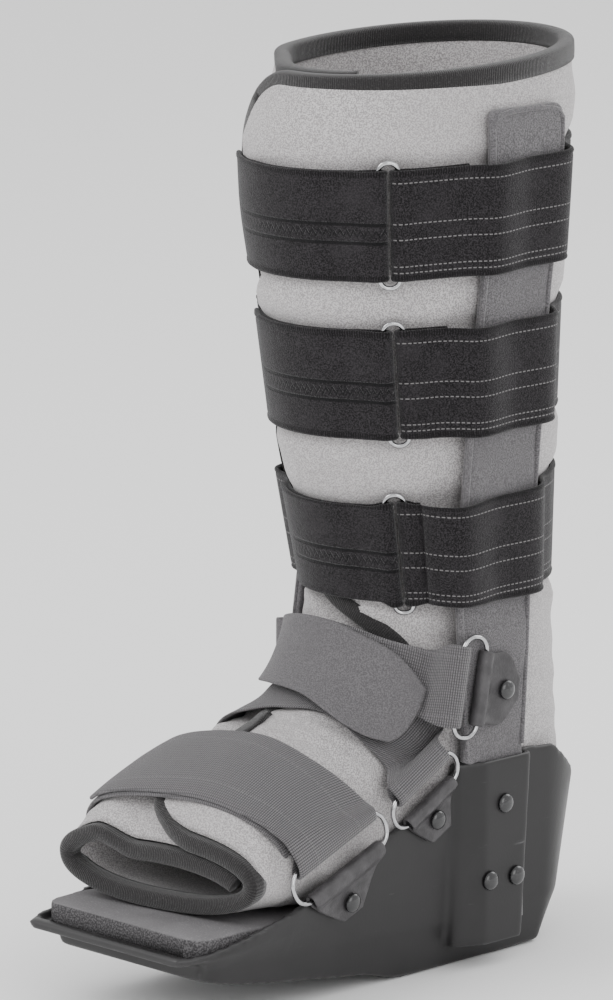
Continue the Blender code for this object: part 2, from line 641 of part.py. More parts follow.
def liner_row(edges, off, columns):
    station_a, angle_a, station_b, angle_b = edges
    share = np.linspace(0, 1, columns)
    station = station_a + (station_b - station_a) * share
    angle = angle_a + (angle_b - angle_a) * share
    return liner_point(station, angle, off), liner_normal(station, angle)


def band_edges(table, count, start=0.0, end=None):
    """Edges at even steps between two rows of a strap's table."""
    table = np.array(table, float)
    index = np.arange(len(table), dtype=float)
    end = index[-1] if end is None else end
    steps = np.linspace(start, end, count)
    return [[float(smooth(index, table[:, k], s)) for k in range(4)] for s in steps]


def bar_rows(bar, inward, out, across, width, thick, columns):
    """Half turn round a ring's bar, from its inner side through the ring to its outer side."""
    radius = RING_WIRE / 2 + GAP + thick / 2
    share = np.linspace(-0.5, 0.5, columns)[:, None] * width
    rows = []
    for degrees in (-90, -45, 0, 45, 90):
        turn = math.radians(degrees)
        radial = math.cos(turn) * inward + math.sin(turn) * out
        points = bar + share * across + radius * radial
        rows.append((points, np.repeat(radial[None], columns, axis=0)))
    return rows


def reverse_side(rows):
    """The same rows with their thickness direction turned over, for the layer that comes back."""
    return [(points, -normals) for points, normals in rows]


def make_ring(name, centre, across, up, long_inside, spacing, group, made):
    """Rounded rectangular wire: two bars `spacing` apart joined by short ends."""
    half_long = long_inside / 2 + RING_WIRE / 2
    half_short = spacing / 2
    radius = (RING_ROOM + RING_WIRE) / 2
    points = []
    for sx, sy, first in ((1, 1, 0), (-1, 1, 90), (-1, -1, 180), (1, -1, 270)):
        for degrees in (first, first + 45, first + 90):
            turn = math.radians(degrees)
            a = sx * (half_long - radius) + radius * math.cos(turn)
            b = sy * (half_short - radius) + radius * math.sin(turn)
            points.append(centre + across * a + up * b)
    curve = bpy.data.curves.new(name, "CURVE")
    curve.dimensions = "3D"
    curve.bevel_depth = RING_WIRE / 2
    curve.bevel_resolution = 1
    spline = curve.splines.new("POLY")
    spline.points.add(len(points) - 1)
    for point, place in zip(spline.points, points):
        point.co = (*place, 1.0)
    spline.use_cyclic_u = True
    obj = bpy.data.objects.new(name, curve)
    group.objects.link(obj)
    curve.materials.append(made)
    return obj


# Calf straps

def station_along(along):
    return np.interp(along, ALONG, STATIONS)


def calf_edges(front_station, back_station, angle):
    centre = front_station + (back_station - front_station) * (1 - math.cos(math.radians(angle))) / 2
    middle = np.interp(centre, STATIONS, ALONG)
    return (float(station_along(middle - CALF_STRAP_WIDTH / 2)), angle,
            float(station_along(middle + CALF_STRAP_WIDTH / 2)), angle)


def cover_angles(station, side):
    """Angles at which the liner passes the front and rear edges of an upright's cover."""
    angles = np.linspace(15, 165, 151)
    line = liner_point(station, angles, 0.0)
    front, rear = cover_edges(float(line[75, 2]))
    hits = np.interp([front - COVER_MARGIN, rear + COVER_MARGIN], line[:, 1], angles)
    return list(hits) if side > 0 else [360 - hits[1], 360 - hits[0]]


def over_cover_row(edges, thick, columns):
    """A row moved out until it lies on the upright's cover."""
    points, _ = liner_row(edges, 0.0, columns)
    side = np.sign(points[:, 0])
    points[:, 0] = side * (cover_inner(points[:, 2]) + UPRIGHT_THICK + GAP + thick / 2 + COVER_ROOM)
    return points, side[:, None] * X


def calf_strap(front_station, back_station, ring_angle, columns):
    """Rows of one calf strap, and the centre, long and short directions of its ring."""
    thick = CALF_STRAP_THICK
    first = STRAP_LIFT + thick / 2
    second = first + thick + LAYER_GAP

    def on_liner(angle, off):
        return liner_row(calf_edges(front_station, back_station, angle), off, columns)

    def on_cover(angle):
        return over_cover_row(calf_edges(front_station, back_station, angle), thick, columns)

    points, normals = on_liner(ring_angle, 0.0)
    out = unit(normals.mean(axis=0))
    across = unit(points[-1] - points[0])
    around = unit(np.cross(out, across))
    around = around * np.sign(around @ (on_liner(ring_angle + 5, 0.0)[0][0] - points[0]))
    centre = points.mean(axis=0) + out * (first + RING_WIRE / 2 + GAP + thick / 2)
    near_bar = centre + around * CALF_RING_SPACING / 2
    far_bar = centre - around * CALF_RING_SPACING / 2

    station = (front_station + back_station) / 2
    near = cover_angles(station, 1)
    far = cover_angles(station, -1)
    start = ring_angle + CALF_TURN
    last = 360 + ring_angle - CALF_TURN
    stepped = second + CALF_FOLD_RISE

    sewn = near[0] - CALF_SEWN_GAP
    rows = reverse_side([on_liner(angle, first) for angle in np.linspace(sewn, start, 3)])
    rows += bar_rows(near_bar, -around, out, across, CALF_STRAP_WIDTH, thick, columns)
    rows += [on_liner(start, stepped), on_liner((start + sewn) / 2, second)]
    rows += [on_liner(sewn, second + CALF_SEWN_RISE)]
    rows += [on_cover(angle) for angle in (near[0], (near[0] + near[1]) / 2, near[1])]
    rows += [on_liner(angle, first) for angle in np.linspace(near[1] + CALF_DROP, far[0] - CALF_DROP, 13)]
    rows += [on_cover(angle) for angle in (far[0], (far[0] + far[1]) / 2, far[1])]
    rows += [on_liner(angle, first) for angle in np.linspace(far[1] + CALF_DROP, last, 11)]
    back = bar_rows(far_bar, around, out, across, CALF_STRAP_WIDTH, thick, columns)
    back += [on_liner(last, stepped)]
    back += [on_liner(angle, second) for angle in np.linspace(last - CALF_STEP, 360 + CALF_TAB_ANGLE, 8)]
    return rows + reverse_side(back), (centre, across, around)


# Instep straps and their brackets

def wall_frame(y, z, tilt, side, on_cover, spread):
    """Origin just clear of the shell's wall or an upright's cover, the fold's direction, up and outward."""
    if on_cover:
        x = float(cover_inner(z)) + UPRIGHT_THICK
        out = X
    else:
        drop = WALL_PATCH
        slope_y = (shell_half(y + spread, z) - shell_half(y - spread, z)) / (2 * spread)
        slope_z = (shell_half(y, z) - shell_half(y, z - drop)) / drop
        out = unit([1.0, -slope_y, -slope_z])
        x = max(shell_half(y + dy, z + dz) - slope_y * dy - slope_z * dz
                for dy in np.linspace(-spread, spread, 9) for dz in (-drop, 0.0, drop))
    turn = math.radians(tilt)
    across = np.array([0.0, math.cos(turn), math.sin(turn)])
    across = unit(across - out * (across @ out))
    up = unit(np.cross(out, across))
    mirror = np.array([side, 1.0, 1.0])
    return np.array([x, y, z]) * mirror, across * mirror, up * mirror, out * mirror


def bracket(spec, on_cover):
    """Rows of a folded bracket, its rivet, and its ring's centre, directions and outer bar."""
    y, z, tilt, lean, to_fold, spacing, strap_width, outline = spec
    origin, across, up, out = wall_frame(y, z, tilt, 1, on_cover, outline[0][1])
    under = GAP + BRACKET_THICK / 2
    radius = RING_WIRE / 2 + GAP + BRACKET_THICK / 2
    bar = origin + up * (to_fold - radius - BRACKET_THICK / 2) + out * (under + radius)

    def layer(distance, half, off):
        middle = origin + up * (to_fold - distance) + out * off
        return np.array([middle - across * half, middle + across * half]), np.array([out, out])

    tail = outline[:0:-1]
    rows = reverse_side([layer(distance, half, under) for distance, half in tail])
    rows += bar_rows(bar, up, out, across, outline[0][1] * 2, BRACKET_THICK, 2)
    rows += [layer(distance, half, under + BRACKET_THICK + GAP) for distance, half in tail[::-1]]
    turn = math.radians(lean)
    ring_up = up * math.cos(turn) - out * math.sin(turn)
    ring_out = out * math.cos(turn) + up * math.sin(turn)
    frame = (bar + ring_up * spacing / 2, across, ring_up)
    rivet = (origin + out * (under + BRACKET_THICK * 1.5 + 2 * GAP), out)
    return rows, rivet, frame, (bar + ring_up * spacing, ring_up, ring_out, across)


def strap_turn(outer_bar, width, thick, columns):
    """Tail under the bar, the half turn round it, and the first row on its outer side."""
    bar, up, out, across = outer_bar
    turn = bar_rows(bar, -up, out, across, width, thick, columns)
    below, normals = turn[0]
    tail = (below + up * STRAP_TAIL, normals)
    above = (below + up * (STRAP_TAIL + 0.001) + out * (thick + LAYER_GAP), -normals)
    return tail, turn, above


def far_rows(spec, on_cover, off, columns):
    """Last rows of a strap, flat on the far wall or cover, and the rivet through them."""
    y, z, tilt, outline = spec
    origin, across, up, out = wall_frame(y, z, tilt, -1, on_cover, outline[0][1])
    share = np.linspace(-1, 1, columns)[:, None]
    rows = []
    for reach, half in outline:
        middle = origin + up * reach + out * off
        rows.append((middle + share * half * across, np.repeat(out[None], columns, axis=0)))
    return rows, (origin, out)


def table_rows(table, lifts, count, columns):
    """Rows along a strap's table; lifts are heights off the liner at even steps along it."""
    steps = np.linspace(0, 1, count)
    offs = np.interp(steps, np.linspace(0, 1, len(lifts)), lifts)
    return [liner_row(edges, off, columns) for edges, off in zip(band_edges(table, count), offs)]


def make_rivet(name, place, out, grip, group, made):
    """Domed head turned about its axis, with a shank of length grip."""
    dome = [(RIVET_RADIUS * 0.55, RIVET_HEAD * 0.86), (RIVET_RADIUS * 0.87, RIVET_HEAD * 0.5)]
    profile = [(0.0, RIVET_HEAD), *dome, (RIVET_RADIUS, 0.0)]
    profile += [(SHANK_RADIUS, 0.0), (SHANK_RADIUS, -grip), (0.0, -grip)]
    mesh = bpy.data.meshes.new(name)
    mesh.from_pydata([(r, 0.0, h) for r, h in profile], [(k, k + 1) for k in range(len(profile) - 1)], [])
    obj = new_object(name, mesh, group, made)
    obj.location = place + out * GAP
    obj.rotation_mode = "QUATERNION"
    obj.rotation_quaternion = Vector(out).to_track_quat("Z", "Y")
    turned = obj.modifiers.new("turned", "SCREW")
    turned.angle = math.tau
    turned.steps = RIVET_SIDES
    turned.render_steps = RIVET_SIDES
    turned.use_merge_vertices = True
    turned.merge_threshold = MERGE
    turned.use_smooth_shade = True
    return obj


def rivet_holes(rivets, cutters):
    """One clearance hole along each rivet's shank, all in one cutter."""
    bm = bmesh.new()
    for place, out, grip in rivets:
        depth = grip + RIVET_HEAD + HOLE_RUN
        middle = place + out * (RIVET_HEAD - depth / 2)
        turn = Vector(out).to_track_quat("Z", "Y").to_matrix().to_4x4()
        turn.translation = Vector(middle)
        bmesh.ops.create_cone(bm, cap_ends=True, segments=8, radius1=SHANK_RADIUS + GAP * 1.5,
                              radius2=SHANK_RADIUS + GAP * 1.5, depth=depth, matrix=turn)
    mesh = bpy.data.meshes.new("rivet_holes")
    bm.to_mesh(mesh)
    bm.free()
    return guide(new_object("rivet_holes", mesh, cutters, None))


def build():
    for obj in list(bpy.data.objects):
        bpy.data.objects.remove(obj, do_unlink=True)
    boot = bpy.data.collections.new("walking_boot")
    cutters = bpy.data.collections.new("cutters")
    for collection in (boot, cutters):
        bpy.context.scene.collection.children.link(collection)

    plastic = material("shell_plastic", (0.035, 0.035, 0.038), 0.45)
    foam = material("footbed_foam", (0.10, 0.10, 0.105), 0.9)
    cloth = material("liner_cloth", (0.36, 0.35, 0.34), 0.9)
    knit = material("binding_knit", (0.02, 0.018, 0.018), 0.85)
    cover = material("upright_cloth", (0.055, 0.052, 0.055), 0.9)
    velour = material("strap_velour", (0.022, 0.021, 0.023), 0.9)
    webbing = material("strap_webbing", (0.06, 0.058, 0.06), 0.8)
    vinyl = material("bracket_vinyl", (0.07, 0.07, 0.075), 0.5)
    chrome = material("ring_chrome", (0.75, 0.75, 0.76), 0.15, 1.0)
    black = material("rivet_black", (0.01, 0.01, 0.011), 0.2, 0.4)

    shell = make_shell(boot, cutters, plastic)
    make_footbed(boot, foam)
    make_liner(boot, cloth)
    make_binding(boot, knit)
    uprights = [make_upright("upright_near", 1, boot, cover), make_upright("upright_far", -1, boot, cover)]

    for label, places in CALF_STRAPS.items():
        rows, (centre, across, around) = calf_strap(*places)
        ribbon("calf_strap_" + label, rows, CALF_STRAP_THICK, boot, velour)
        make_ring("calf_ring_" + label, centre, across, around,
                  CALF_STRAP_WIDTH + RING_ROOM, CALF_RING_SPACING, boot, chrome)

    rivets = []
    plates = {}
    bars = {}
    for label, spec in BRACKETS.items():
        rows, (place, out), (centre, across, up), bars[label] = bracket(spec, label == "high")
        plates[label] = ribbon(label + "_bracket", rows, BRACKET_THICK, boot, vinyl)
        make_ring(label + "_ring", centre, across, up, spec[6] + RING_ROOM, spec[5], boot, chrome)
        rivets.append((label + "_bracket_rivet", place, out, 2 * BRACKET_THICK + 3 * GAP + RIVET_BITE))

    straps = instep_straps(bars, boot, velour, webbing, rivets)

    for side, name in ((1, "near"), (-1, "far")):
        for number, (y, z) in enumerate(CHANNEL_RIVETS, 1):
            place = np.array([side * CHANNEL_STAND, y * CHANNEL_WIDTH, z * SIDE_HEIGHT])
            rivets.append((f"channel_rivet_{name}_{number}", place, X * side, CHANNEL_BITE))
    for name, place, out, grip in rivets:
        make_rivet(name, place, out, grip, boot, black)
    holes = rivet_holes([entry[1:] for entry in rivets], cutters)
    for obj in [shell, *uprights, *plates.values(), *straps]:
        cut(obj, holes)


def instep_straps(bars, group, velour, webbing, rivets):
    """Toe strap and the three ankle straps; adds the rivets of their far ends."""
    columns = 3
    thick = TOE_STRAP_THICK
    first = STRAP_LIFT + thick / 2
    second = first + thick + LAYER_GAP
    _, turn, _ = strap_turn(bars["toe"], BRACKETS["toe"][6], thick, columns)
    ends, (place, out) = far_rows(FAR_TOE, False, GAP + thick / 2, columns)
    under = table_rows(TOE_STRAP, [first], 19, columns)
    over = table_rows(TOE_STRAP[:7], [second + TOE_FOLD_RISE, second, second, second], 12, columns)
    rows = ends[::-1] + under[::-1] + reverse_side(turn) + reverse_side(over)
    toe = ribbon("toe_strap", rows, thick, group, webbing)
    rivets.append(("toe_strap_rivet", place + out * (GAP + thick), out, thick + 2 * GAP + RIVET_BITE))

    columns = 5
    thick = ANKLE_STRAP_THICK
    first = STRAP_LIFT + thick / 2
    step = thick + STACK_GAP
    tail, turn, above = strap_turn(bars["low"], BRACKETS["low"][6], thick, columns)
    ends, (place, out) = far_rows(FAR_LOW, False, GAP + thick / 2, columns)
    main = table_rows(ANKLE_LOWER, [first + LOW_FOLD_RISE] + [first] * 8, 13, columns)
    low = ribbon("ankle_strap_lower", [tail] + turn + [above] + main + ends, thick, group, webbing)
    rivets.append(("low_strap_rivet", place + out * (GAP + thick), out, thick + 2 * GAP + RIVET_BITE))

    tail, turn, above = strap_turn(bars["high"], BRACKETS["high"][6], thick, columns)
    ends, (place, out) = far_rows(FAR_HIGH, True, GAP + thick / 2, columns)
    second = first + step
    lifts = [second + rise for rise in HIGH_FOLD_RISES] + [second] * 5
    main = table_rows(ANKLE_UPPER, lifts, 13, columns)
    high = ribbon("ankle_strap_upper", [tail] + turn + [above] + main + ends, thick, group, webbing)

    ends, _ = far_rows(FAR_HIGH, True, GAP + thick / 2 + step + GAP, columns)
    third = first + 2 * step
    main = table_rows(ANKLE_OVER, [third + rise for rise in OVER_RISES], 15, columns)
    over = ribbon("ankle_strap_over", main + ends, thick, group, velour)
    rivets.append(("high_strap_rivet", place + out * (2 * GAP + thick + step), out,
                   thick + step + 3 * GAP + RIVET_BITE))
    return [toe, low, high, over]


build()
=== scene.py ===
"""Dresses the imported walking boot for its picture: soft goods, moulded shell, hardware, light and camera.

Metres, +Z up, toes towards -Y, the side with the rings at +X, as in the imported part.
"""

import json
import math

import bmesh
import bpy
import numpy as np
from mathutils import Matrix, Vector

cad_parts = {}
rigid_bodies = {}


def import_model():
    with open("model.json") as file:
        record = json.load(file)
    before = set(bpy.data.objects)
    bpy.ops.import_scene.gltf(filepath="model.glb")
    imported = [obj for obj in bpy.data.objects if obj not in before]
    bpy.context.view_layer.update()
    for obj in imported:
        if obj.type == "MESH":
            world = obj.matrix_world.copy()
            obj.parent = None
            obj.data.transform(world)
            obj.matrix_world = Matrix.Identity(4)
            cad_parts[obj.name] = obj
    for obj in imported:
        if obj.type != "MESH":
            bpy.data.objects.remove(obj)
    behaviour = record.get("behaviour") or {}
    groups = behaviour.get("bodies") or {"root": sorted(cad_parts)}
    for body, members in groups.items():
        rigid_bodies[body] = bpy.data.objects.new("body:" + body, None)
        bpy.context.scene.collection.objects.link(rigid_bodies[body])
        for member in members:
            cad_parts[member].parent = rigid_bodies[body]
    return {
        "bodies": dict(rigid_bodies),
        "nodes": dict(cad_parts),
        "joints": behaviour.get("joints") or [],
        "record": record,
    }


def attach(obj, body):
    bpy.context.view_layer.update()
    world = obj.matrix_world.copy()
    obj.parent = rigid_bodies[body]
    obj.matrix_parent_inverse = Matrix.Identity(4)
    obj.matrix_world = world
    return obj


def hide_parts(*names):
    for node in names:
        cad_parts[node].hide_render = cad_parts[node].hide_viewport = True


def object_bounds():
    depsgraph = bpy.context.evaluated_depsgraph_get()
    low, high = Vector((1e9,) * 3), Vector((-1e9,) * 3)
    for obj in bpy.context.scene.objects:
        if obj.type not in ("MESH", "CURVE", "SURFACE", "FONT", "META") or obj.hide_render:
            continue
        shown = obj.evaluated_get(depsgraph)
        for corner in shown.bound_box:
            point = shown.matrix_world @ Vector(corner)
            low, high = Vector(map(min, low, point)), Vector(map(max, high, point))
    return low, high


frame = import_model()
CAD_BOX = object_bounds()
SCENE = bpy.context.scene

# Camera: the photograph's viewing angle
VIEW_AZIMUTH = 45.51
VIEW_ELEVATION = 11.23
VIEW_DISTANCE = 2.8
VIEW_TARGET = (0.00267, -0.07599, 0.22839)
LENS = 214.03


def make_camera():
    az, el = math.radians(VIEW_AZIMUTH), math.radians(VIEW_ELEVATION)
    back = Vector((math.sin(az) * math.cos(el), -math.cos(az) * math.cos(el), math.sin(el)))
    data = bpy.data.cameras.new("camera")
    data.sensor_fit = "VERTICAL"
    data.sensor_height = 36
    data.lens = LENS
    data.clip_end = 30
    camera = bpy.data.objects.new("camera", data)
    camera.location = Vector(VIEW_TARGET) + back * VIEW_DISTANCE
    camera.rotation_euler = back.to_track_quat("Z", "Y").to_euler()
    SCENE.collection.objects.link(camera)
    SCENE.camera = camera


make_camera()

# Liner
LEG_HEIGHT = 0.439         # floor to the back of the rim
SHIN_REACH = 0.089         # uprights' line forward to the shin
HEEL_REACH = 0.076         # uprights' line back to the liner's heel
FOOT_REACH = 0.171         # uprights' line forward to the toe opening
INSTEP_HEIGHT = 0.163      # floor to the bend above the instep
CALF_WIDTH = 0.140
FOOT_WIDTH = 0.100
LINER_WALL = 0.0055        # padding and both cloth faces
FLAP_GAP = 0.0037          # between the near flap and the far flap tucked under it
BINDING_THICK = 0.0009

# Sole shell and footbed
SIDE_HEIGHT = 0.1015       # floor to the top of the walls beside the ankle
SHELL_WALL = 0.003
SIDE_ROOM = 0.001          # liner to shell wall at each side
HEEL_ROOM = 0.005          # liner to shell wall behind the heel
TOE_LIP = 0.0355           # sole beyond the toe opening
FOOTBED_THICK = 0.0095
FOOTBED_SETTLE = 0.0005    # more room under the liner, for the facets of both
FOOTBED_INSET = 0.011      # front of the lip to the front of the footbed

# Uprights and their channels
UPRIGHT_THICK = 0.005
UPRIGHT_WIDTH = 0.046      # padded cover above the shell
TONGUE_WIDTH = 0.031       # lower end, inside the channel
TONGUE_DEPTH = 0.0815
UPRIGHT_STAND = 0.0008     # liner to upright at the calf
UPRIGHT_TOP = 0.024        # rim to the top of the cover
CHANNEL_WIDTH = 0.048
CHANNEL_FOOT = 0.011       # floor to the channel's lower end
CHANNEL_DEPTH = 0.008      # shell's side to the channel's face
TONGUE_ROOM = 0.0004       # shell's side to the tongue in the channel

# Straps, rings, brackets and rivets
CALF_STRAP_WIDTH = 0.053
CALF_STRAP_THICK = 0.0022
TOE_STRAP_THICK = 0.002
ANKLE_STRAP_THICK = 0.0019
CALF_PRESS = 0.0034        # by which the calf straps sink into the padding
FAR_PINCH = 0.34           # share of the far cover's front drawn in under the low calf strap
PINCH_HEIGHT = 0.197
PINCH_SPREAD = 0.045
STRAP_LIFT = 0.0024        # liner to the first strap layer, which clears the binding
LAYER_GAP = 0.0004         # between the layers of one strap
STACK_GAP = 0.0010         # between one ankle strap and the next over it
RING_WIRE = 0.0035
CALF_RING_SPACING = 0.0092
BRACKET_THICK = 0.0016
RIVET_RADIUS = 0.0048
RIVET_HEAD = 0.0026
SHANK_RADIUS = 0.0018
RING_ROOM = 0.0015         # ring's inside beyond the strap's width
STRAP_TAIL = 0.007         # strap end sewn back under the ring's bar
WALL_PATCH = 0.008         # height over which a bracket or strap end bears on the wall

GAP = 0.0003               # between pieces that touch
COVER_MARGIN = 0.0038      # from the cover's edges to where a calf strap comes down beside it
COVER_ROOM = 0.0005        # more room over an upright's cover, for its facets
CALF_SEWN_GAP = 2          # degrees from the sewn end of the under layer to the upright
CALF_TURN = 9.5            # degrees from the ring's middle to where the strap lies on the liner
CALF_FOLD_RISE = 0.0024    # rise of the outer layer where it leaves the ring
CALF_MIDDLE_RISE = 0.0016  # and halfway to its sewn end
CALF_SEWN_RISE = 0.0042    # and where that end is sewn to the strap, beside the cover
CALF_DROP = 12             # degrees from an upright to where the strap is back on the liner
CALF_STEP = 8              # degrees from the fold at the ring to the next row
TOE_FOLD_RISE = 0.003      # rise of each strap's rows over the ring's fold or the strap below
LOW_FOLD_RISE = 0.0015
HIGH_FOLD_RISES = (0.002, 0.0005)
OVER_RISES = (0.003, 0.002, 0.001, 0.001)

SHELL_HALF = FOOT_WIDTH / 2 + SIDE_ROOM + SHELL_WALL
SHELL_HEEL = HEEL_REACH + HEEL_ROOM + SHELL_WALL
SOLE_REACH = FOOT_REACH + TOE_LIP
CHANNEL_STAND = SHELL_HALF + CHANNEL_DEPTH

# Liner sections from the rim (station 0) to the toe opening (station 14).
# Shares: y of SHIN_REACH on the leg and FOOT_REACH on the foot when forward, of HEEL_REACH when back;
# z of LEG_HEIGHT on the leg, INSTEP_HEIGHT on the foot; half width of half CALF_WIDTH or FOOT_WIDTH;
# swing, by which the near side lies behind the far side, of FOOT_REACH.
# Columns: front y, front z, back y, back z, half width, squareness above, squareness below, swing
LEG_SECTIONS = [
    (-0.910, 0.975, 1.039, 1.000, 0.971, 2.0, 2.0, 0.0),
    (-1.000, 0.904, 1.013, 0.909, 1.000, 2.0, 2.0, 0.0),
    (-0.910, 0.718, 0.974, 0.718, 0.914, 2.0, 2.0, 0.0),
    (-0.798, 0.574, 0.954, 0.574, 0.857, 2.0, 2.0, 0.0),
    (-0.618, 0.428, 0.947, 0.419, 0.771, 2.05, 2.0, 0.0),
]
FOOT_SECTIONS = [
    (-0.319, 1.000, 0.974, 0.859, 1.030, 2.1, 2.0, 0.0),
    (-0.357, 0.911, 1.000, 0.644, 1.010, 2.2, 2.1, 0.0),
    (-0.406, 0.850, 1.000, 0.442, 1.000, 2.3, 2.3, 0.0),
    (-0.465, 0.807, 0.842, 0.282, 0.975, 2.4, 2.5, 0.0),
    (-0.532, 0.782, 0.395, 0.236, 0.960, 2.5, 2.8, 0.0),
    (-0.614, 0.758, -0.146, 0.236, 0.965, 2.5, 2.8, 0.0),
    (-0.713, 0.724, -0.468, 0.245, 1.000, 2.4, 2.7, 0.006),
    (-0.830, 0.672, -0.713, 0.264, 1.060, 2.3, 2.6, 0.023),
    (-0.936, 0.598, -0.865, 0.279, 1.100, 2.2, 2.4, 0.041),
    (-1.000, 0.521, -0.988, 0.294, 1.120, 2.1, 2.3, 0.053),
]

# Angle in degrees of the near flap's edge and of the far flap's hidden end, at each station.
# Angles run from the front (0) over the near side (90), the back (180) and the far side (270).
NEAR_EDGE = [-38, -41, -46, -46, -25, 26, 46, 42, 8, -6, -4, -4, -5, -7, -6]
FAR_END = [25, 25, 22, 22, 45, 62, 75, 72, 50, 36, 32, 31, 33, 46, 64]
TUCK_MARGIN = 6            # degrees by which the tuck is complete before the near edge
TUCK_RUN = 30
RIM_CORNER = (-6, 0.85, 3.0)      # angle where the corner starts, its drop in stations, where it fades
TOE_CORNER = (22, -0.75, 12.0)

# Shell sections from the toe lip to the heel centre.
# Shares: y of SOLE_REACH forward and SHELL_HEEL back, half widths of SHELL_HALF, z of SIDE_HEIGHT.
# Columns: y, then half width and z at the bottom, the crease, the middle and the rim
SHELL_SECTIONS = [
    (-1.000, 0.889, 0.345, 0.907, 0.353, 0.926, 0.363, 0.935, 0.384),
    (-0.959, 0.926, 0.335, 0.944, 0.343, 1.000, 0.357, 1.019, 0.386),
    (-0.923, 0.889, 0.325, 0.926, 0.333, 1.026, 0.355, 1.046, 0.392),
    (-0.915, 0.870, 0.241, 0.917, 0.305, 1.030, 0.355, 1.050, 0.394),
    (-0.862, 0.889, 0.210, 0.935, 0.296, 1.061, 0.365, 1.083, 0.414),
    (-0.799, 0.889, 0.183, 0.944, 0.286, 1.070, 0.379, 1.093, 0.441),
    (-0.668, 0.880, 0.138, 0.944, 0.266, 1.037, 0.394, 1.059, 0.491),
    (-0.533, 0.861, 0.099, 0.935, 0.251, 0.990, 0.443, 1.010, 0.581),
    (-0.383, 0.852, 0.055, 0.930, 0.241, 0.978, 0.493, 0.996, 0.690),
    (-0.305, 0.852, 0.012, 0.931, 0.237, 0.977, 0.540, 0.996, 0.773),
    (-0.266, 0.852, 0.000, 0.935, 0.236, 0.976, 0.563, 0.996, 0.813),
    (-0.097, 0.852, 0.000, 0.941, 0.236, 0.978, 0.631, 1.000, 1.000),
    (0.238, 0.852, 0.000, 0.944, 0.238, 0.981, 0.631, 1.000, 1.000),
    (0.452, 0.852, 0.006, 0.944, 0.241, 0.981, 0.631, 1.000, 0.985),
]
HEEL_DEPTHS = [0.107, 0.369, 0.500, 0.548]      # beyond the last section, shares of SHELL_HEEL
HEEL_RIM = [(0.452, 0.985), (0.488, 0.985), (0.821, 0.778), (1.000, 0.749)]
HEEL_LIFT = 0.034          # rise of the bottom edge behind the heel, share of SIDE_HEIGHT

# Channel outline in plan: share of half CHANNEL_WIDTH from its centre, and share of its stand-off
CHANNEL_CENTRE = -0.1875   # share of half CHANNEL_WIDTH
CHANNEL_OUTLINE = [(-1.021, 0.0), (-0.896, 0.375), (-0.417, 1.0),
                   (0.875, 1.0), (0.958, 0.625), (0.979, 0.0)]
CHANNEL_TAPER = 0.25       # by which the rear edge comes forward at the channel's foot

# Upright covers: z as a share of LEG_HEIGHT, front and rear edge as shares of UPRIGHT_WIDTH
COVER_SECTIONS = [
    (0.253, -0.559, 0.311),
    (0.365, -0.630, 0.370),
    (0.581, -0.674, 0.370),
    (0.752, -0.587, 0.400),
    (0.900, -0.576, 0.460),
    (0.938, -0.576, 0.480),
]

# Calf straps: liner station of the centre line at the front and at the back, angle of the ring's middle,
# and points across the strap
CALF_STRAPS = {
    "top": (1.435, 1.355, 43, 3),
    "mid": (2.460, 2.395, 43, 2),
    "low": (3.775, 3.650, 38, 2),
}
CALF_TAB_ANGLE = -42       # end of the folded-back layer

# Instep straps, from the near end to the far side: liner station and angle of both edges
TOE_STRAP = [
    (12.88, 72, 10.42, 75),
    (12.93, 62, 10.45, 64),
    (13.02, 38, 10.57, 40),
    (13.10, 14, 10.66, 14),
    (13.20, -10, 11.05, -10),
    (13.20, -34, 11.25, -34),
    (13.10, -58, 11.15, -58),
    (13.00, -80, 11.10, -80),
]
ANKLE_LOWER = [
    (9.25, 64, 7.05, 65),
    (8.85, 44, 6.50, 46),
    (8.50, 30, 6.00, 30),
    (8.30, 14, 5.70, 14),
    (8.75, 0, 6.00, 0),
    (9.30, -12, 6.60, -12),
    (9.70, -30, 7.50, -30),
    (10.00, -52, 8.00, -52),
    (10.10, -70, 8.30, -70),
]
ANKLE_UPPER = [
    (7.10, 50, 5.16, 50),
    (7.10, 34, 5.05, 34),
    (7.30, 16, 4.88, 16),
    (7.40, -2, 4.80, -2),
    (7.30, -20, 4.85, -20),
    (7.10, -38, 5.00, -38),
    (7.10, -56, 5.10, -56),
]
ANKLE_OVER = [
    (8.50, 51, 6.20, 51),
    (8.75, 43, 5.75, 44),
    (8.65, 32, 5.30, 34),
    (8.30, 20, 4.98, 20),
    (7.75, 4, 4.78, 4),
    (7.55, -14, 4.80, -14),
    (7.35, -34, 4.95, -34),
    (7.10, -56, 5.10, -56),
]

# Brackets on the near side. Columns: rivet y and z, tilt of the fold and inward lean of the ring in
# degrees, rivet to fold, spacing of the ring's bars, strap width in the ring,
# and the outline as (distance from the fold, half width)
BRACKETS = {
    "toe": (-0.1010, 0.0484, 21.4, 14, 0.0200, 0.0170, 0.054, [(0, 0.0250), (0.012, 0.0205), (0.027, 0.007)]),
    "low": (-0.0432, 0.0775, 29.0, 0, 0.0140, 0.0160, 0.037, [(0, 0.0170), (0.009, 0.0150), (0.023, 0.007)]),
    "high": (-0.0027, 0.1350, 78.9, 4, 0.0208, 0.0147, 0.039,
             [(0, 0.0180), (0.010, 0.0172), (0.022, 0.0160), (0.030, 0.006)]),
}

# Far ends of the instep straps: rivet y and z, tilt in degrees,
# and the strap's end as (distance before the rivet, half width)
FAR_TOE = (-0.1280, 0.0450, 12.0, [(0.0150, 0.0200), (0.007, 0.0160), (-0.007, 0.0140)])
FAR_LOW = (-0.0480, 0.0720, 20.0, [(0.0220, 0.0160), (0.007, 0.0140), (-0.007, 0.0120)])
FAR_HIGH = (-0.0030, 0.1370, 90.0, [(0.0275, 0.0175), (0.007, 0.0150), (-0.007, 0.0130)])

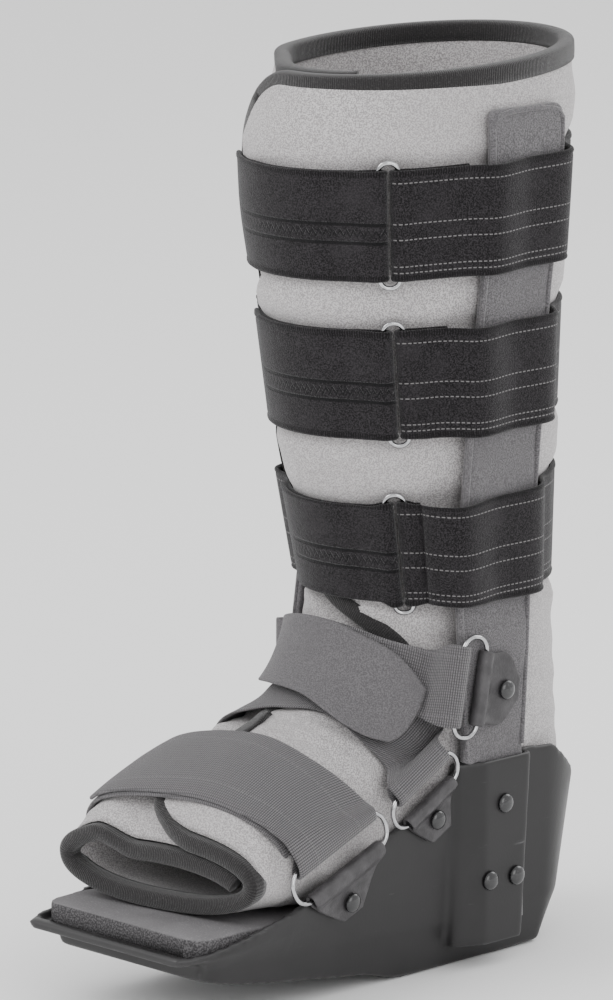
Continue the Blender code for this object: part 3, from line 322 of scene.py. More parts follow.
# Rivets through each channel: y and z
CHANNEL_RIVETS = [(-0.0015, 0.079), (-0.0115, 0.0426), (0.0066, 0.042)]

X = np.array([1.0, 0.0, 0.0])


def unit(v):
    v = np.asarray(v, float)
    return v / np.linalg.norm(v, axis=-1, keepdims=True)


def smooth(knots, values, at):
    """A cubic through the values, with its slope at each knot taken from the neighbours."""
    knots = np.asarray(knots, float)
    values = np.asarray(values, float)
    slope = np.gradient(values, knots)
    i = np.clip(np.searchsorted(knots, at) - 1, 0, len(knots) - 2)
    step = knots[i + 1] - knots[i]
    t = (at - knots[i]) / step
    return ((2 * t**3 - 3 * t**2 + 1) * values[i] + (t**3 - 2 * t**2 + t) * step * slope[i]
            + (3 * t**2 - 2 * t**3) * values[i + 1] + (t**3 - t**2) * step * slope[i + 1])


# Liner surface

def liner_sections():
    """Sections in metres: front y, front z, back y, back z, half width, two squarenesses, swing."""
    rows = []
    groups = ((LEG_SECTIONS, SHIN_REACH, LEG_HEIGHT, CALF_WIDTH / 2),
              (FOOT_SECTIONS, FOOT_REACH, INSTEP_HEIGHT, FOOT_WIDTH / 2))
    for table, reach, height, half in groups:
        for front_y, front_z, back_y, back_z, width, above, below, swing in table:
            back = back_y * (HEEL_REACH if back_y > 0 else reach)
            rows.append((front_y * reach, front_z * height, back, back_z * height,
                         width * half, above, below, swing * FOOT_REACH))
    return np.array(rows)


SECTIONS = liner_sections()
STATIONS = np.arange(len(SECTIONS), dtype=float)
LAST = STATIONS[-1]
SPINE = (SECTIONS[:, 0:2] + SECTIONS[:, 2:4]) / 2
ALONG = np.concatenate([[0.0], np.cumsum(np.linalg.norm(np.diff(SPINE, axis=0), axis=1))])


def liner_point(station, angle, off):
    """Point at a height off the liner's outer face; angle in degrees from the front over +X."""
    station, angle, off = np.broadcast_arrays(*[np.asarray(v, float) for v in (station, angle, off)])
    inside = np.clip(station, 0, LAST)
    along = np.interp(inside, STATIONS, ALONG) + (station - inside) * ALONG[-1] / LAST
    front_y, front_z, back_y, back_z, half, above, below, swing = [
        smooth(ALONG, SECTIONS[:, k], along) for k in range(8)]
    turn = np.radians(angle)
    power = 2 / np.where(np.cos(turn) < 0, below, above)
    side = np.sign(np.sin(turn)) * np.abs(np.sin(turn))**power
    fore = np.sign(np.cos(turn)) * np.abs(np.cos(turn))**power
    depth = np.hypot(front_y - back_y, front_z - back_z) / 2
    normal_side = np.sin(turn) / half
    normal_fore = np.cos(turn) / depth
    length = np.hypot(normal_side, normal_fore)
    x = half * side + off * normal_side / length
    reach = (depth * fore + off * normal_fore / length) / depth
    y = (front_y + back_y) / 2 + (front_y - back_y) / 2 * reach + swing * x / half
    z = (front_z + back_z) / 2 + (front_z - back_z) / 2 * reach
    return np.stack([x, y, z], axis=-1)


def liner_normal(station, angle):
    return unit(liner_point(station, angle, 0.001) - liner_point(station, angle, 0.0))


def wrap_point(u, station, off):
    """Point of the wrap: u runs from the near flap's edge round the back to the far flap's end."""
    u, station, off = np.broadcast_arrays(*[np.asarray(v, float) for v in (u, station, off)])
    start = smooth(STATIONS, NEAR_EDGE, station)
    end = 360 + smooth(STATIONS, FAR_END, station)
    angle = start + (end - start) * u
    tucked = np.clip((angle - (360 + start - TUCK_MARGIN - TUCK_RUN)) / TUCK_RUN, 0, 1)
    tucked = tucked * tucked * (3 - 2 * tucked)
    rim_from, rim_drop, rim_fade = RIM_CORNER
    toe_from, toe_drop, toe_fade = TOE_CORNER
    rim_share = np.clip((rim_from - angle) / (rim_from - start), 0, None)**2
    toe_share = np.clip((toe_from - angle) / (toe_from - start), 0, None)**2
    shift = rim_drop * rim_share * np.clip(1 - station / rim_fade, 0, None)**2
    shift = shift + toe_drop * toe_share * np.clip((station - toe_fade) / (LAST - toe_fade), 0, None)**2
    return liner_point(station + shift, angle, off - tucked * (LINER_WALL + FLAP_GAP))


# Shell surface

def ahead(share):
    return share * (SOLE_REACH if share < 0 else SHELL_HEEL)


SHELL_Y = np.array([ahead(row[0]) for row in SHELL_SECTIONS])
SHELL_HALVES = np.array([row[1::2] for row in SHELL_SECTIONS]) * SHELL_HALF
SHELL_ZS = np.array([row[2::2] for row in SHELL_SECTIONS]) * SIDE_HEIGHT


def shell_levels(y):
    """Half widths and heights of the bottom, crease, middle and rim at one y."""
    halves = np.array([np.interp(y, SHELL_Y, SHELL_HALVES[:, k]) for k in range(4)])
    heights = np.array([np.interp(y, SHELL_Y, SHELL_ZS[:, k]) for k in range(4)])
    return halves, heights


def shell_half(y, z):
    halves, heights = shell_levels(y)
    return float(np.interp(z, heights, halves))


def heel_levels(turn):
    """Plan positions (half width, y) and heights of the four levels round the heel."""
    halves, heights = shell_levels(SHELL_Y[-1])
    y = SHELL_Y[-1] + np.array(HEEL_DEPTHS) * SHELL_HEEL * math.sin(turn)
    heights = heights.copy()
    heights[0] += HEEL_LIFT * SIDE_HEIGHT * math.sin(turn)**2
    rim_y, rim_z = np.array(HEEL_RIM).T
    heights[3] = np.interp(y[3], rim_y * SHELL_HEEL, rim_z * SIDE_HEIGHT)
    return halves * math.cos(turn), y, heights


UNDERSIDE = liner_point(np.linspace(8, LAST, 80), 180, 0.0)[::-1]


def floor_height(y):
    """Shell's inner floor: the liner's underside less the footbed and its gaps."""
    sole = np.interp(min(y, HEEL_REACH * 0.4), UNDERSIDE[:, 1], UNDERSIDE[:, 2])
    toe = np.interp(y, [-FOOT_REACH, -FOOT_REACH * 0.85], [BINDING_THICK + GAP, 0.0])
    return float(sole - toe - FOOTBED_THICK - 2 * GAP - FOOTBED_SETTLE)


def side_half(z):
    """Liner's half width beside an upright at height z."""
    line = liner_point(np.linspace(0, 6, 60), 90, 0.0)
    return np.interp(z, line[::-1, 2], line[::-1, 0])


def cover_inner(z):
    return np.maximum(SHELL_HALF + TONGUE_ROOM, side_half(z) + UPRIGHT_STAND)


def cover_edges(z):
    zs, fronts, rears = np.array(COVER_SECTIONS).T
    zs = zs * LEG_HEIGHT
    return smooth(zs, fronts * UPRIGHT_WIDTH, z), smooth(zs, rears * UPRIGHT_WIDTH, z)


def side_edges(z, side):
    """Edges of a dressed cover; the far one is drawn in where the low calf strap holds it."""
    front, rear = cover_edges(z)
    pinch = FAR_PINCH * math.exp(-((z - PINCH_HEIGHT) / PINCH_SPREAD)**2)
    return (front if side > 0 else front * (1 - pinch)), rear


def liner_row(edges, off, columns):
    station_a, angle_a, station_b, angle_b = edges
    share = np.linspace(0, 1, columns)
    station = station_a + (station_b - station_a) * share
    angle = angle_a + (angle_b - angle_a) * share
    return liner_point(station, angle, off), liner_normal(station, angle)


def band_edges(table, count):
    """Edges at even steps between two rows of a strap's table."""
    table = np.array(table, float)
    index = np.arange(len(table), dtype=float)
    steps = np.linspace(0, index[-1], count)
    return [[float(smooth(index, table[:, k], s)) for k in range(4)] for s in steps]


def bar_rows(bar, inward, out, across, width, thick, columns):
    """Half turn round a ring's bar, from its inner side through the ring to its outer side."""
    radius = RING_WIRE / 2 + GAP + thick / 2
    share = np.linspace(-0.5, 0.5, columns)[:, None] * width
    rows = []
    for degrees in (-90, -45, 0, 45, 90):
        turn = math.radians(degrees)
        radial = math.cos(turn) * inward + math.sin(turn) * out
        points = bar + share * across + radius * radial
        rows.append((points, np.repeat(radial[None], columns, axis=0)))
    return rows


def reverse_side(rows):
    """The same rows with their thickness direction turned over, for the layer that comes back."""
    return [(points, -normals) for points, normals in rows]


# Calf straps

def station_along(along):
    return np.interp(along, ALONG, STATIONS)


def calf_edges(front_station, back_station, angle):
    centre = front_station + (back_station - front_station) * (1 - math.cos(math.radians(angle))) / 2
    middle = np.interp(centre, STATIONS, ALONG)
    return (float(station_along(middle - CALF_STRAP_WIDTH / 2)), angle,
            float(station_along(middle + CALF_STRAP_WIDTH / 2)), angle)


def cover_angles(station, side):
    """Angles at which the liner passes the front and rear edges of an upright's cover."""
    angles = np.linspace(15, 165, 151)
    line = liner_point(station, angles, 0.0)
    front, rear = side_edges(float(line[75, 2]), side)
    hits = np.interp([front - COVER_MARGIN, rear + COVER_MARGIN], line[:, 1], angles)
    return list(hits) if side > 0 else [360 - hits[1], 360 - hits[0]]


def over_cover_row(edges, thick, columns):
    """A row moved out until it lies on the upright's cover."""
    points, _ = liner_row(edges, 0.0, columns)
    side = np.sign(points[:, 0])
    points[:, 0] = side * (cover_inner(points[:, 2]) + UPRIGHT_THICK + GAP + thick / 2 + COVER_ROOM)
    return points, side[:, None] * X


def calf_strap(front_station, back_station, ring_angle, columns):
    """Rows of one calf strap, and the centre, long and short directions of its ring."""
    thick = CALF_STRAP_THICK
    first = STRAP_LIFT - CALF_PRESS + thick / 2
    second = first + thick + LAYER_GAP

    def on_liner(angle, off):
        return liner_row(calf_edges(front_station, back_station, angle), off, columns)

    def on_cover(angle):
        return over_cover_row(calf_edges(front_station, back_station, angle), thick, columns)

    points, normals = on_liner(ring_angle, 0.0)
    out = unit(normals.mean(axis=0))
    across = unit(points[-1] - points[0])
    around = unit(np.cross(out, across))
    around = around * np.sign(around @ (on_liner(ring_angle + 5, 0.0)[0][0] - points[0]))
    centre = points.mean(axis=0) + out * (first + RING_WIRE / 2 + GAP + thick / 2)
    near_bar = centre + around * CALF_RING_SPACING / 2
    far_bar = centre - around * CALF_RING_SPACING / 2

    station = (front_station + back_station) / 2
    near = cover_angles(station, 1)
    far = cover_angles(station, -1)
    start = ring_angle + CALF_TURN
    last = 360 + ring_angle - CALF_TURN
    stepped = second + CALF_FOLD_RISE

    sewn = near[0] - CALF_SEWN_GAP
    rows = reverse_side([on_liner(angle, first) for angle in np.linspace(sewn, start, 3)])
    rows += bar_rows(near_bar, -around, out, across, CALF_STRAP_WIDTH, thick, columns)
    rows += [on_liner(start, stepped), on_liner((start + sewn) / 2, second + CALF_MIDDLE_RISE)]
    rows += [on_liner(sewn, second + CALF_SEWN_RISE)]
    rows += [on_cover(angle) for angle in (near[0], (near[0] + near[1]) / 2, near[1])]
    rows += [on_liner(angle, first) for angle in np.linspace(near[1] + CALF_DROP, far[0] - CALF_DROP, 13)]
    rows += [on_cover(angle) for angle in (far[0], (far[0] + far[1]) / 2, far[1])]
    rows += [on_liner(angle, first) for angle in np.linspace(far[1] + CALF_DROP, last, 11)]
    back = bar_rows(far_bar, around, out, across, CALF_STRAP_WIDTH, thick, columns)
    back += [on_liner(last, stepped)]
    back += [on_liner(angle, second) for angle in np.linspace(last - CALF_STEP, 360 + CALF_TAB_ANGLE, 8)]
    return rows + reverse_side(back), (centre, across, around)


# Instep straps and their brackets

def wall_frame(y, z, tilt, side, on_cover, spread):
    """Origin just clear of the shell's wall or an upright's cover, the fold's direction, up and outward."""
    if on_cover:
        x = float(cover_inner(z)) + UPRIGHT_THICK
        out = X
    else:
        drop = WALL_PATCH
        slope_y = (shell_half(y + spread, z) - shell_half(y - spread, z)) / (2 * spread)
        slope_z = (shell_half(y, z) - shell_half(y, z - drop)) / drop
        out = unit([1.0, -slope_y, -slope_z])
        x = max(shell_half(y + dy, z + dz) - slope_y * dy - slope_z * dz
                for dy in np.linspace(-spread, spread, 9) for dz in (-drop, 0.0, drop))
    turn = math.radians(tilt)
    across = np.array([0.0, math.cos(turn), math.sin(turn)])
    across = unit(across - out * (across @ out))
    up = unit(np.cross(out, across))
    mirror = np.array([side, 1.0, 1.0])
    return np.array([x, y, z]) * mirror, across * mirror, up * mirror, out * mirror


def bracket(spec, on_cover):
    """Rows of a folded bracket, its rivet, and its ring's centre, directions and outer bar."""
    y, z, tilt, lean, to_fold, spacing, _, outline = spec
    origin, across, up, out = wall_frame(y, z, tilt, 1, on_cover, outline[0][1])
    under = GAP + BRACKET_THICK / 2
    radius = RING_WIRE / 2 + GAP + BRACKET_THICK / 2
    bar = origin + up * (to_fold - radius - BRACKET_THICK / 2) + out * (under + radius)

    def layer(distance, half, off):
        middle = origin + up * (to_fold - distance) + out * off
        return np.array([middle - across * half, middle + across * half]), np.array([out, out])

    tail = outline[:0:-1]
    rows = reverse_side([layer(distance, half, under) for distance, half in tail])
    rows += bar_rows(bar, up, out, across, outline[0][1] * 2, BRACKET_THICK, 2)
    rows += [layer(distance, half, under + BRACKET_THICK + GAP) for distance, half in tail[::-1]]
    turn = math.radians(lean)
    ring_up = up * math.cos(turn) - out * math.sin(turn)
    ring_out = out * math.cos(turn) + up * math.sin(turn)
    frame = (bar + ring_up * spacing / 2, across, ring_up)
    rivet = (origin + out * (under + BRACKET_THICK * 1.5 + 2 * GAP), out)
    return rows, rivet, frame, (bar + ring_up * spacing, ring_up, ring_out, across)


def strap_turn(outer_bar, width, thick, columns):
    """Tail under the bar, the half turn round it, and the first row on its outer side."""
    bar, up, out, across = outer_bar
    turn = bar_rows(bar, -up, out, across, width, thick, columns)
    below, normals = turn[0]
    tail = (below + up * STRAP_TAIL, normals)
    above = (below + up * (STRAP_TAIL + 0.001) + out * (thick + LAYER_GAP), -normals)
    return tail, turn, above


def far_rows(spec, on_cover, off, columns):
    """Last rows of a strap, flat on the far wall or cover, and the rivet through them."""
    y, z, tilt, outline = spec
    origin, across, up, out = wall_frame(y, z, tilt, -1, on_cover, outline[0][1])
    share = np.linspace(-1, 1, columns)[:, None]
    rows = []
    for reach, half in outline:
        middle = origin + up * reach + out * off
        rows.append((middle + share * half * across, np.repeat(out[None], columns, axis=0)))
    return rows, (origin, out)


def table_rows(table, lifts, count, columns):
    """Rows along a strap's table; lifts are heights off the liner at even steps along it."""
    steps = np.linspace(0, 1, count)
    offs = np.interp(steps, np.linspace(0, 1, len(lifts)), lifts)
    return [liner_row(edges, off, columns) for edges, off in zip(band_edges(table, count), offs)]


# Meshes from grids

def add_piece(name, mesh, node_material, slot, *nodes):
    obj = bpy.data.objects.new(name, mesh)
    SCENE.collection.objects.link(obj)
    mesh.materials.clear()
    mesh.materials.append(node_material)
    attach(obj, "root")
    if nodes:
        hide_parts(*nodes)
    return obj


def mesh_of(name, points, faces, uv=None):
    mesh = bpy.data.meshes.new(name)
    mesh.from_pydata([tuple(p) for p in points], [], faces)
    if uv is not None:
        layer = mesh.uv_layers.new(name="cloth")
        index = np.empty(len(mesh.loops), int)
        mesh.loops.foreach_get("vertex_index", index)
        layer.data.foreach_set("uv", np.asarray(uv)[index].ravel())
    bm = bmesh.new()
    bm.from_mesh(mesh)
    bmesh.ops.recalc_face_normals(bm, faces=bm.faces)
    bm.to_mesh(mesh)
    bm.free()
    mesh.shade_smooth()
    return mesh


def sheet_mesh(name, outer, inner, uv):
    """Closed body between two grids of equal shape; uv in metres across and along."""
    rows, columns = outer.shape[:2]
    count = rows * columns
    index = np.arange(count).reshape(rows, columns)
    a, b, c, d = index[:-1, :-1], index[:-1, 1:], index[1:, 1:], index[1:, :-1]
    front = np.stack([a, b, c, d], -1).reshape(-1, 4)
    back = front[:, ::-1] + count
    loop = np.concatenate([index[0, :], index[1:, -1], index[-1, -2::-1], index[-2:0:-1, 0]])
    after = np.roll(loop, -1)
    border = np.stack([loop, loop + count, after + count, after], -1)
    faces = np.concatenate([front, back, border]).tolist()
    points = np.concatenate([outer.reshape(-1, 3), inner.reshape(-1, 3)])
    flat = uv.reshape(-1, 2)
    return mesh_of(name, points, faces, np.concatenate([flat, flat]))


def ring_mesh(name, rings, uv=None, closed=False):
    """Body over rings of equal count, joined end to end when closed and else capped at both ends."""
    rings = np.asarray(rings)
    rows, columns = rings.shape[:2]
    index = np.arange(rows * columns).reshape(rows, columns)
    near = np.roll(index, -1, axis=1)
    if closed:
        corners = [index, near, np.roll(near, -1, axis=0), np.roll(index, -1, axis=0)]
    else:
        corners = [index[:-1], near[:-1], near[1:], index[1:]]
    faces = np.stack(corners, -1).reshape(-1, 4).tolist()
    if not closed:
        faces += [index[0, ::-1].tolist(), index[-1].tolist()]
    return mesh_of(name, rings.reshape(-1, 3), faces, None if uv is None else np.asarray(uv).reshape(-1, 2))


def tube_mesh(name, path, normals, profile, closed=False):
    """Profile of (side, out) points swept along a path whose outward directions are given."""
    path, normals = np.asarray(path), unit(normals)
    ahead_of = np.gradient(path, axis=0)
    if closed:
        ahead_of = (np.roll(path, -1, axis=0) - np.roll(path, 1, axis=0)) / 2
    side = unit(np.cross(ahead_of, normals))
    rings = [p + np.outer(profile[:, 0], s) + np.outer(profile[:, 1], n)
             for p, s, n in zip(path, side, normals)]
    run = np.concatenate([[0], np.cumsum(np.linalg.norm(np.diff(path, axis=0), axis=1))])
    turn = np.linspace(0, 1, len(profile))
    uv = [[(t * 0.01, r) for t in turn] for r in run]
    return ring_mesh(name, rings, uv, closed)


def circle(radius, count=12):
    turn = np.linspace(0, math.tau, count, endpoint=False)
    return np.stack([np.cos(turn), np.sin(turn)], -1) * radius


def resample(values, at, knots):
    """Each column of values at new places along its knots, on a cubic."""
    flat = values.reshape(len(values), -1)
    made = np.stack([smooth(knots, flat[:, k], at) for k in range(flat.shape[1])], -1)
    return made.reshape((len(at),) + values.shape[1:])


LEAST_STEP = 1e-5


def fine_ribbon(name, rows, thick, spacing=0.0018, columns=21, piping=0.0):
    """Dense closed strap through coarse rows, with rounded or piped edges. UV v starts at the last row."""
    points = np.array([p for p, _ in rows])
    normals = np.array([n for _, n in rows])
    middle = points.mean(axis=1)
    steps = np.maximum(np.linalg.norm(np.diff(middle, axis=0), axis=1), LEAST_STEP)
    knots = np.concatenate([[0], np.cumsum(steps)])
    count = max(int(knots[-1] / spacing), 8)
    at = np.linspace(0, knots[-1], count)
    points = resample(points, at, knots)
    normals = unit(resample(normals, at, knots))
    share = np.sin(np.linspace(-math.pi / 2, math.pi / 2, columns))
    old = np.linspace(-1, 1, points.shape[1])
    if points.shape[1] == 2:
        mid = points.mean(axis=1, keepdims=True)
        points = np.concatenate([points[:, :1], mid, points[:, 1:]], axis=1)
        between = normals.mean(axis=1, keepdims=True)
        normals = unit(np.concatenate([normals[:, :1], between, normals[:, 1:]], axis=1))
        old = np.linspace(-1, 1, 3)
    points = np.swapaxes(resample(np.swapaxes(points, 0, 1), share, old), 0, 1)
    normals = unit(np.swapaxes(resample(np.swapaxes(normals, 0, 1), share, old), 0, 1))
    width = np.linalg.norm(points[:, -1] - points[:, 0], axis=-1)
    in_from_edge = (1 - np.abs(share))[None, :] * width[:, None] / 2
    half = np.full(in_from_edge.shape, thick / 2)
    half = half * np.sqrt(np.clip(1 - np.clip(1 - in_from_edge / (thick * 0.6), 0, 1)**2, 0.02, 1))
    if piping:
        bead = piping**2 - (in_from_edge - piping)**2
        half = np.maximum(np.where(in_from_edge < 2 * piping, 0, half), np.sqrt(np.clip(bead, 1e-9, None)))
    uv = np.stack(np.broadcast_arrays(share[None, :] * width[:, None] / 2, (knots[-1] - at)[:, None]), -1)
    return sheet_mesh(name, points + normals * half[..., None], points - normals * half[..., None], uv)


def evaluated(obj):
    deps = bpy.context.evaluated_depsgraph_get()
    deps.update()
    mesh = bpy.data.meshes.new_from_object(obj.evaluated_get(deps))
    bpy.data.objects.remove(obj, do_unlink=True)
    return mesh


# Materials

class Nodes:
    """Short calls for building one material's node tree."""

    def __init__(self, name, roughness, **sockets):
        self.material = bpy.data.materials.new(name)
        self.material.use_nodes = True
        self.tree = self.material.node_tree
        self.shader = self.tree.nodes["Principled BSDF"]
        self.shader.inputs["Roughness"].default_value = roughness
        for key, value in sockets.items():
            self.shader.inputs[key.replace("_", " ")].default_value = value
        place = self.tree.nodes.new("ShaderNodeTexCoord")
        self.place = place.outputs["Object"]
        split = self.tree.nodes.new("ShaderNodeSeparateXYZ")
        self.link(place.outputs["UV"], split.inputs[0])
        self.across, self.along = split.outputs[0], split.outputs[1]
        self.height = None

    def link(self, source, target):
        self.tree.links.new(source, target)

    def put(self, value, target):
        if isinstance(value, bpy.types.NodeSocket):
            self.link(value, target)
        else:
            target.default_value = (*value, 1.0) if isinstance(value, tuple) else value

    def do(self, operation, *values):
        node = self.tree.nodes.new("ShaderNodeMath")
        node.operation = operation
        for value, target in zip(values, node.inputs):
            self.put(value, target)
        return node.outputs[0]

    def noise(self, scale, detail=3.0, stretch=None, rough=0.5):
        node = self.tree.nodes.new("ShaderNodeTexNoise")
        node.inputs["Scale"].default_value = scale
        node.inputs["Detail"].default_value = detail
        node.inputs["Roughness"].default_value = rough
        source = self.place
        if stretch:
            mapping = self.tree.nodes.new("ShaderNodeMapping")
            mapping.inputs["Scale"].default_value = stretch
            self.link(self.place, mapping.inputs["Vector"])
            source = mapping.outputs[0]
        self.link(source, node.inputs["Vector"])
        return node.outputs[0]

    def cells(self, scale):
        node = self.tree.nodes.new("ShaderNodeTexVoronoi")
        node.inputs["Scale"].default_value = scale
        self.link(self.place, node.inputs["Vector"])
        return node.outputs["Distance"]

    def ramp(self, value, low, high, out_low=0.0, out_high=1.0):
        node = self.tree.nodes.new("ShaderNodeMapRange")
        node.interpolation_type = "SMOOTHSTEP"
        for socket, number in zip(node.inputs, (value, low, high, out_low, out_high)):
            self.put(number, socket)
        return node.outputs[0]

    def mix(self, share, first, second):
        node = self.tree.nodes.new("ShaderNodeMix")
        node.data_type = "RGBA"
        self.put(share, node.inputs[0])
        for value, target in ((first, node.inputs[6]), (second, node.inputs[7])):
            self.put(value, target)
        return node.outputs[2]

    def near(self, value, place, half, soft):
        """1 within half of a place, falling to 0 over soft."""
        gap = self.do("ABSOLUTE", self.do("SUBTRACT", value, place))
        return self.ramp(gap, half, half + soft, 1.0, 0.0)

    def wave(self, value, period):
        """Distance from the middle of each repeat, as a share of the period: 0.5 at its ends."""
        phase = self.do("FRACT", self.do("DIVIDE", value, period))
        return self.do("ABSOLUTE", self.do("SUBTRACT", phase, 0.5))

    def dashes(self, at_across, period=0.0024, filled=0.55, half=0.00018):
        """A line of stitches along the cloth at one distance across it."""
        on = self.ramp(self.wave(self.along, period), filled / 2, filled / 2 + 0.08, 1.0, 0.0)
        return self.do("MULTIPLY", on, self.near(self.across, at_across, half, 0.0002))

    def colour(self, value):
        self.put(value, self.shader.inputs["Base Color"])

    def bump(self, height, distance, strength=1.0):
        node = self.tree.nodes.new("ShaderNodeBump")
        node.inputs["Strength"].default_value = strength
        node.inputs["Distance"].default_value = distance
        self.link(height, node.inputs["Height"])
        if self.height is not None:
            self.link(self.height, node.inputs["Normal"])
        self.height = node.outputs[0]
        self.link(self.height, self.shader.inputs["Normal"])


def liner_material():
    n = Nodes("liner_loop_cloth", 0.92, Sheen_Weight=0.25, Sheen_Roughness=0.5, Specular_IOR_Level=0.25)
    speck = n.ramp(n.noise(1500, 2), 0.40, 0.62)
    broad = n.ramp(n.noise(14, 3), 0.35, 0.7)
    base = n.mix(speck, (0.265, 0.252, 0.254), (0.545, 0.525, 0.528))
    n.colour(n.mix(n.do("MULTIPLY", broad, 0.3), base, (0.37, 0.353, 0.355)))
    n.bump(n.noise(1300, 2), 0.0006, 0.55)
    n.bump(n.noise(90, 3), 0.0012, 0.35)
    return n.material


def knit_material():
    n = Nodes("binding_knit", 0.85, Sheen_Weight=0.3, Specular_IOR_Level=0.25)
    rib = n.wave(n.along, 0.0010)
    grain = n.noise(1600, 2)
    base = n.mix(n.ramp(rib, 0.1, 0.45), (0.017, 0.0155, 0.0162), (0.008, 0.0072, 0.0076))
    n.colour(n.mix(n.ramp(grain, 0.5, 0.75), base, (0.040, 0.037, 0.038)))
    n.bump(n.do("SUBTRACT", 0.5, rib), 0.0006, 0.7)
    n.bump(grain, 0.0005, 0.5)
    return n.material


def shell_material():
    n = Nodes("shell_moulded", 0.42, Specular_IOR_Level=0.42, Coat_Weight=0.05, Coat_Roughness=0.3)
    cloud = n.noise(35, 4)
    scuff = n.ramp(n.noise(220, 5, (1.0, 0.25, 2.2), 0.65), 0.60, 0.74)
    wear = n.ramp(n.noise(60, 5), 0.56, 0.8)
    geometry = n.tree.nodes.new("ShaderNodeNewGeometry")
    # Convex edges: scuffs gather on them as wear, and the base is also lightened there as a painted highlight
    edge = n.ramp(geometry.outputs["Pointiness"], 0.515, 0.56)
    marks = n.do("MULTIPLY", scuff, n.do("ADD", n.do("MULTIPLY", wear, 0.55), n.do("MULTIPLY", edge, 0.8)))
    base = n.mix(n.ramp(cloud, 0.35, 0.7), (0.0060, 0.0056, 0.0060), (0.0125, 0.0117, 0.0124))
    # Painted highlight: the base colour is lightened along convex edges
    base = n.mix(n.do("MULTIPLY", edge, 0.3), base, (0.06, 0.058, 0.06))
    n.colour(n.mix(marks, base, (0.17, 0.17, 0.175)))
    n.put(n.ramp(cloud, 0.3, 0.75, 0.36, 0.52), n.shader.inputs["Roughness"])
    n.bump(n.noise(900, 3), 0.00012, 0.35)
    n.bump(n.noise(28, 2), 0.0015, 0.12)
    return n.material


def foam_material():
    n = Nodes("footbed_foam", 0.93, Specular_IOR_Level=0.25)
    crumb = n.ramp(n.noise(1300, 3), 0.56, 0.72)
    base = n.mix(n.ramp(n.noise(40, 3), 0.3, 0.7), (0.125, 0.121, 0.125), (0.160, 0.155, 0.160))
    base = n.mix(n.do("MULTIPLY", crumb, 0.6), base, (0.27, 0.262, 0.27))
    # Painted shade: faces turned away from up get their own speckle in a darker colour, blended in by the
    # normal's height below
    shaded_side_speckle = n.mix(n.ramp(n.noise(1100, 2), 0.42, 0.62), (0.045, 0.043, 0.045), (0.115, 0.111, 0.115))
    geometry = n.tree.nodes.new("ShaderNodeNewGeometry")
    split = n.tree.nodes.new("ShaderNodeSeparateXYZ")
    n.link(geometry.outputs["Normal"], split.inputs[0])
    n.colour(n.mix(n.ramp(split.outputs["Z"], 0.35, 0.75), shaded_side_speckle, base))
    n.bump(n.noise(900, 3), 0.0005, 0.6)
    return n.material


def upright_material():
    n = Nodes("upright_cloth", 0.92, Sheen_Weight=0.35, Sheen_Roughness=0.45, Specular_IOR_Level=0.2)
    fuzz = n.noise(1400, 3)
    base = n.mix(n.ramp(fuzz, 0.35, 0.68), (0.070, 0.067, 0.070), (0.165, 0.158, 0.165))
    base = n.mix(n.do("MULTIPLY", n.ramp(n.noise(24, 3), 0.4, 0.7), 0.4), base, (0.10, 0.095, 0.10))
    n.colour(base)
    n.bump(fuzz, 0.0006, 0.6)
    n.bump(n.noise(60, 3), 0.002, 0.3)
    return n.material


def velour_material(name, stitched, dark, light, bare):
    n = Nodes(name, 0.95, Sheen_Weight=0.2, Sheen_Roughness=0.4, Specular_IOR_Level=0.15)
    fuzz = n.noise(1500, 3)
    broad = n.noise(55, 4)
    base = n.mix(n.ramp(fuzz, 0.35, 0.7), dark, light)
    base = n.mix(n.do("MULTIPLY", n.ramp(broad, 0.48, 0.72), 0.35), base, bare)
    if stitched:
        body = n.ramp(n.along, 0.121, 0.123)
        lines = None
        for at in (-0.0205, -0.001, 0.0065, 0.0192, 0.0222):
            line = n.dashes(at)
            lines = line if lines is None else n.do("MAXIMUM", lines, line)
        lines = n.do("MULTIPLY", lines, body)
        weave = n.ramp(n.do("ABSOLUTE", n.across), 0.0232, 0.0238)
        rib = n.wave(n.along, 0.0012)
        base = n.mix(n.do("MULTIPLY", weave, n.ramp(rib, 0.1, 0.4)), base, (0.006, 0.0055, 0.006))
        base = n.mix(n.do("MULTIPLY", lines, 0.5), base, (0.34, 0.33, 0.33))
        tab = n.ramp(n.along, 0.0185, 0.019, 1.0, 0.0)
        front = n.do("MULTIPLY", n.do("SUBTRACT", 1.0, body), n.do("SUBTRACT", 1.0, tab))
        sway = n.wave(n.along, 0.0034)
        zigzag = n.near(n.across, n.do("ADD", n.do("MULTIPLY", sway, 0.006), 0.0018), 0.0007, 0.0004)
        channels = [n.near(n.across, at, 0.0005, 0.0007) for at in (-0.001, 0.0078)]
        channels = n.do("MAXIMUM", *channels)
        sunk = n.do("MULTIPLY", n.do("MAXIMUM", channels, n.do("MULTIPLY", zigzag, 0.6)), front)
        sunk = n.do("MAXIMUM", sunk, n.near(n.along, 0.1225, 0.0004, 0.0006))
        # Painted shade: the sunk channels, the zigzag and the seam across are darkened in colour where the
        # bump sinks them
        base = n.mix(n.do("MULTIPLY", sunk, 0.8), base, (0.004, 0.004, 0.0045))
        base = n.mix(n.do("MULTIPLY", tab, 0.8), base, (0.030, 0.029, 0.031))
        n.bump(n.do("SUBTRACT", lines, sunk), 0.0008, 0.7)
    n.colour(base)
    n.bump(fuzz, 0.0007, 0.6)
    n.bump(broad, 0.0012, 0.3)
    return n.material


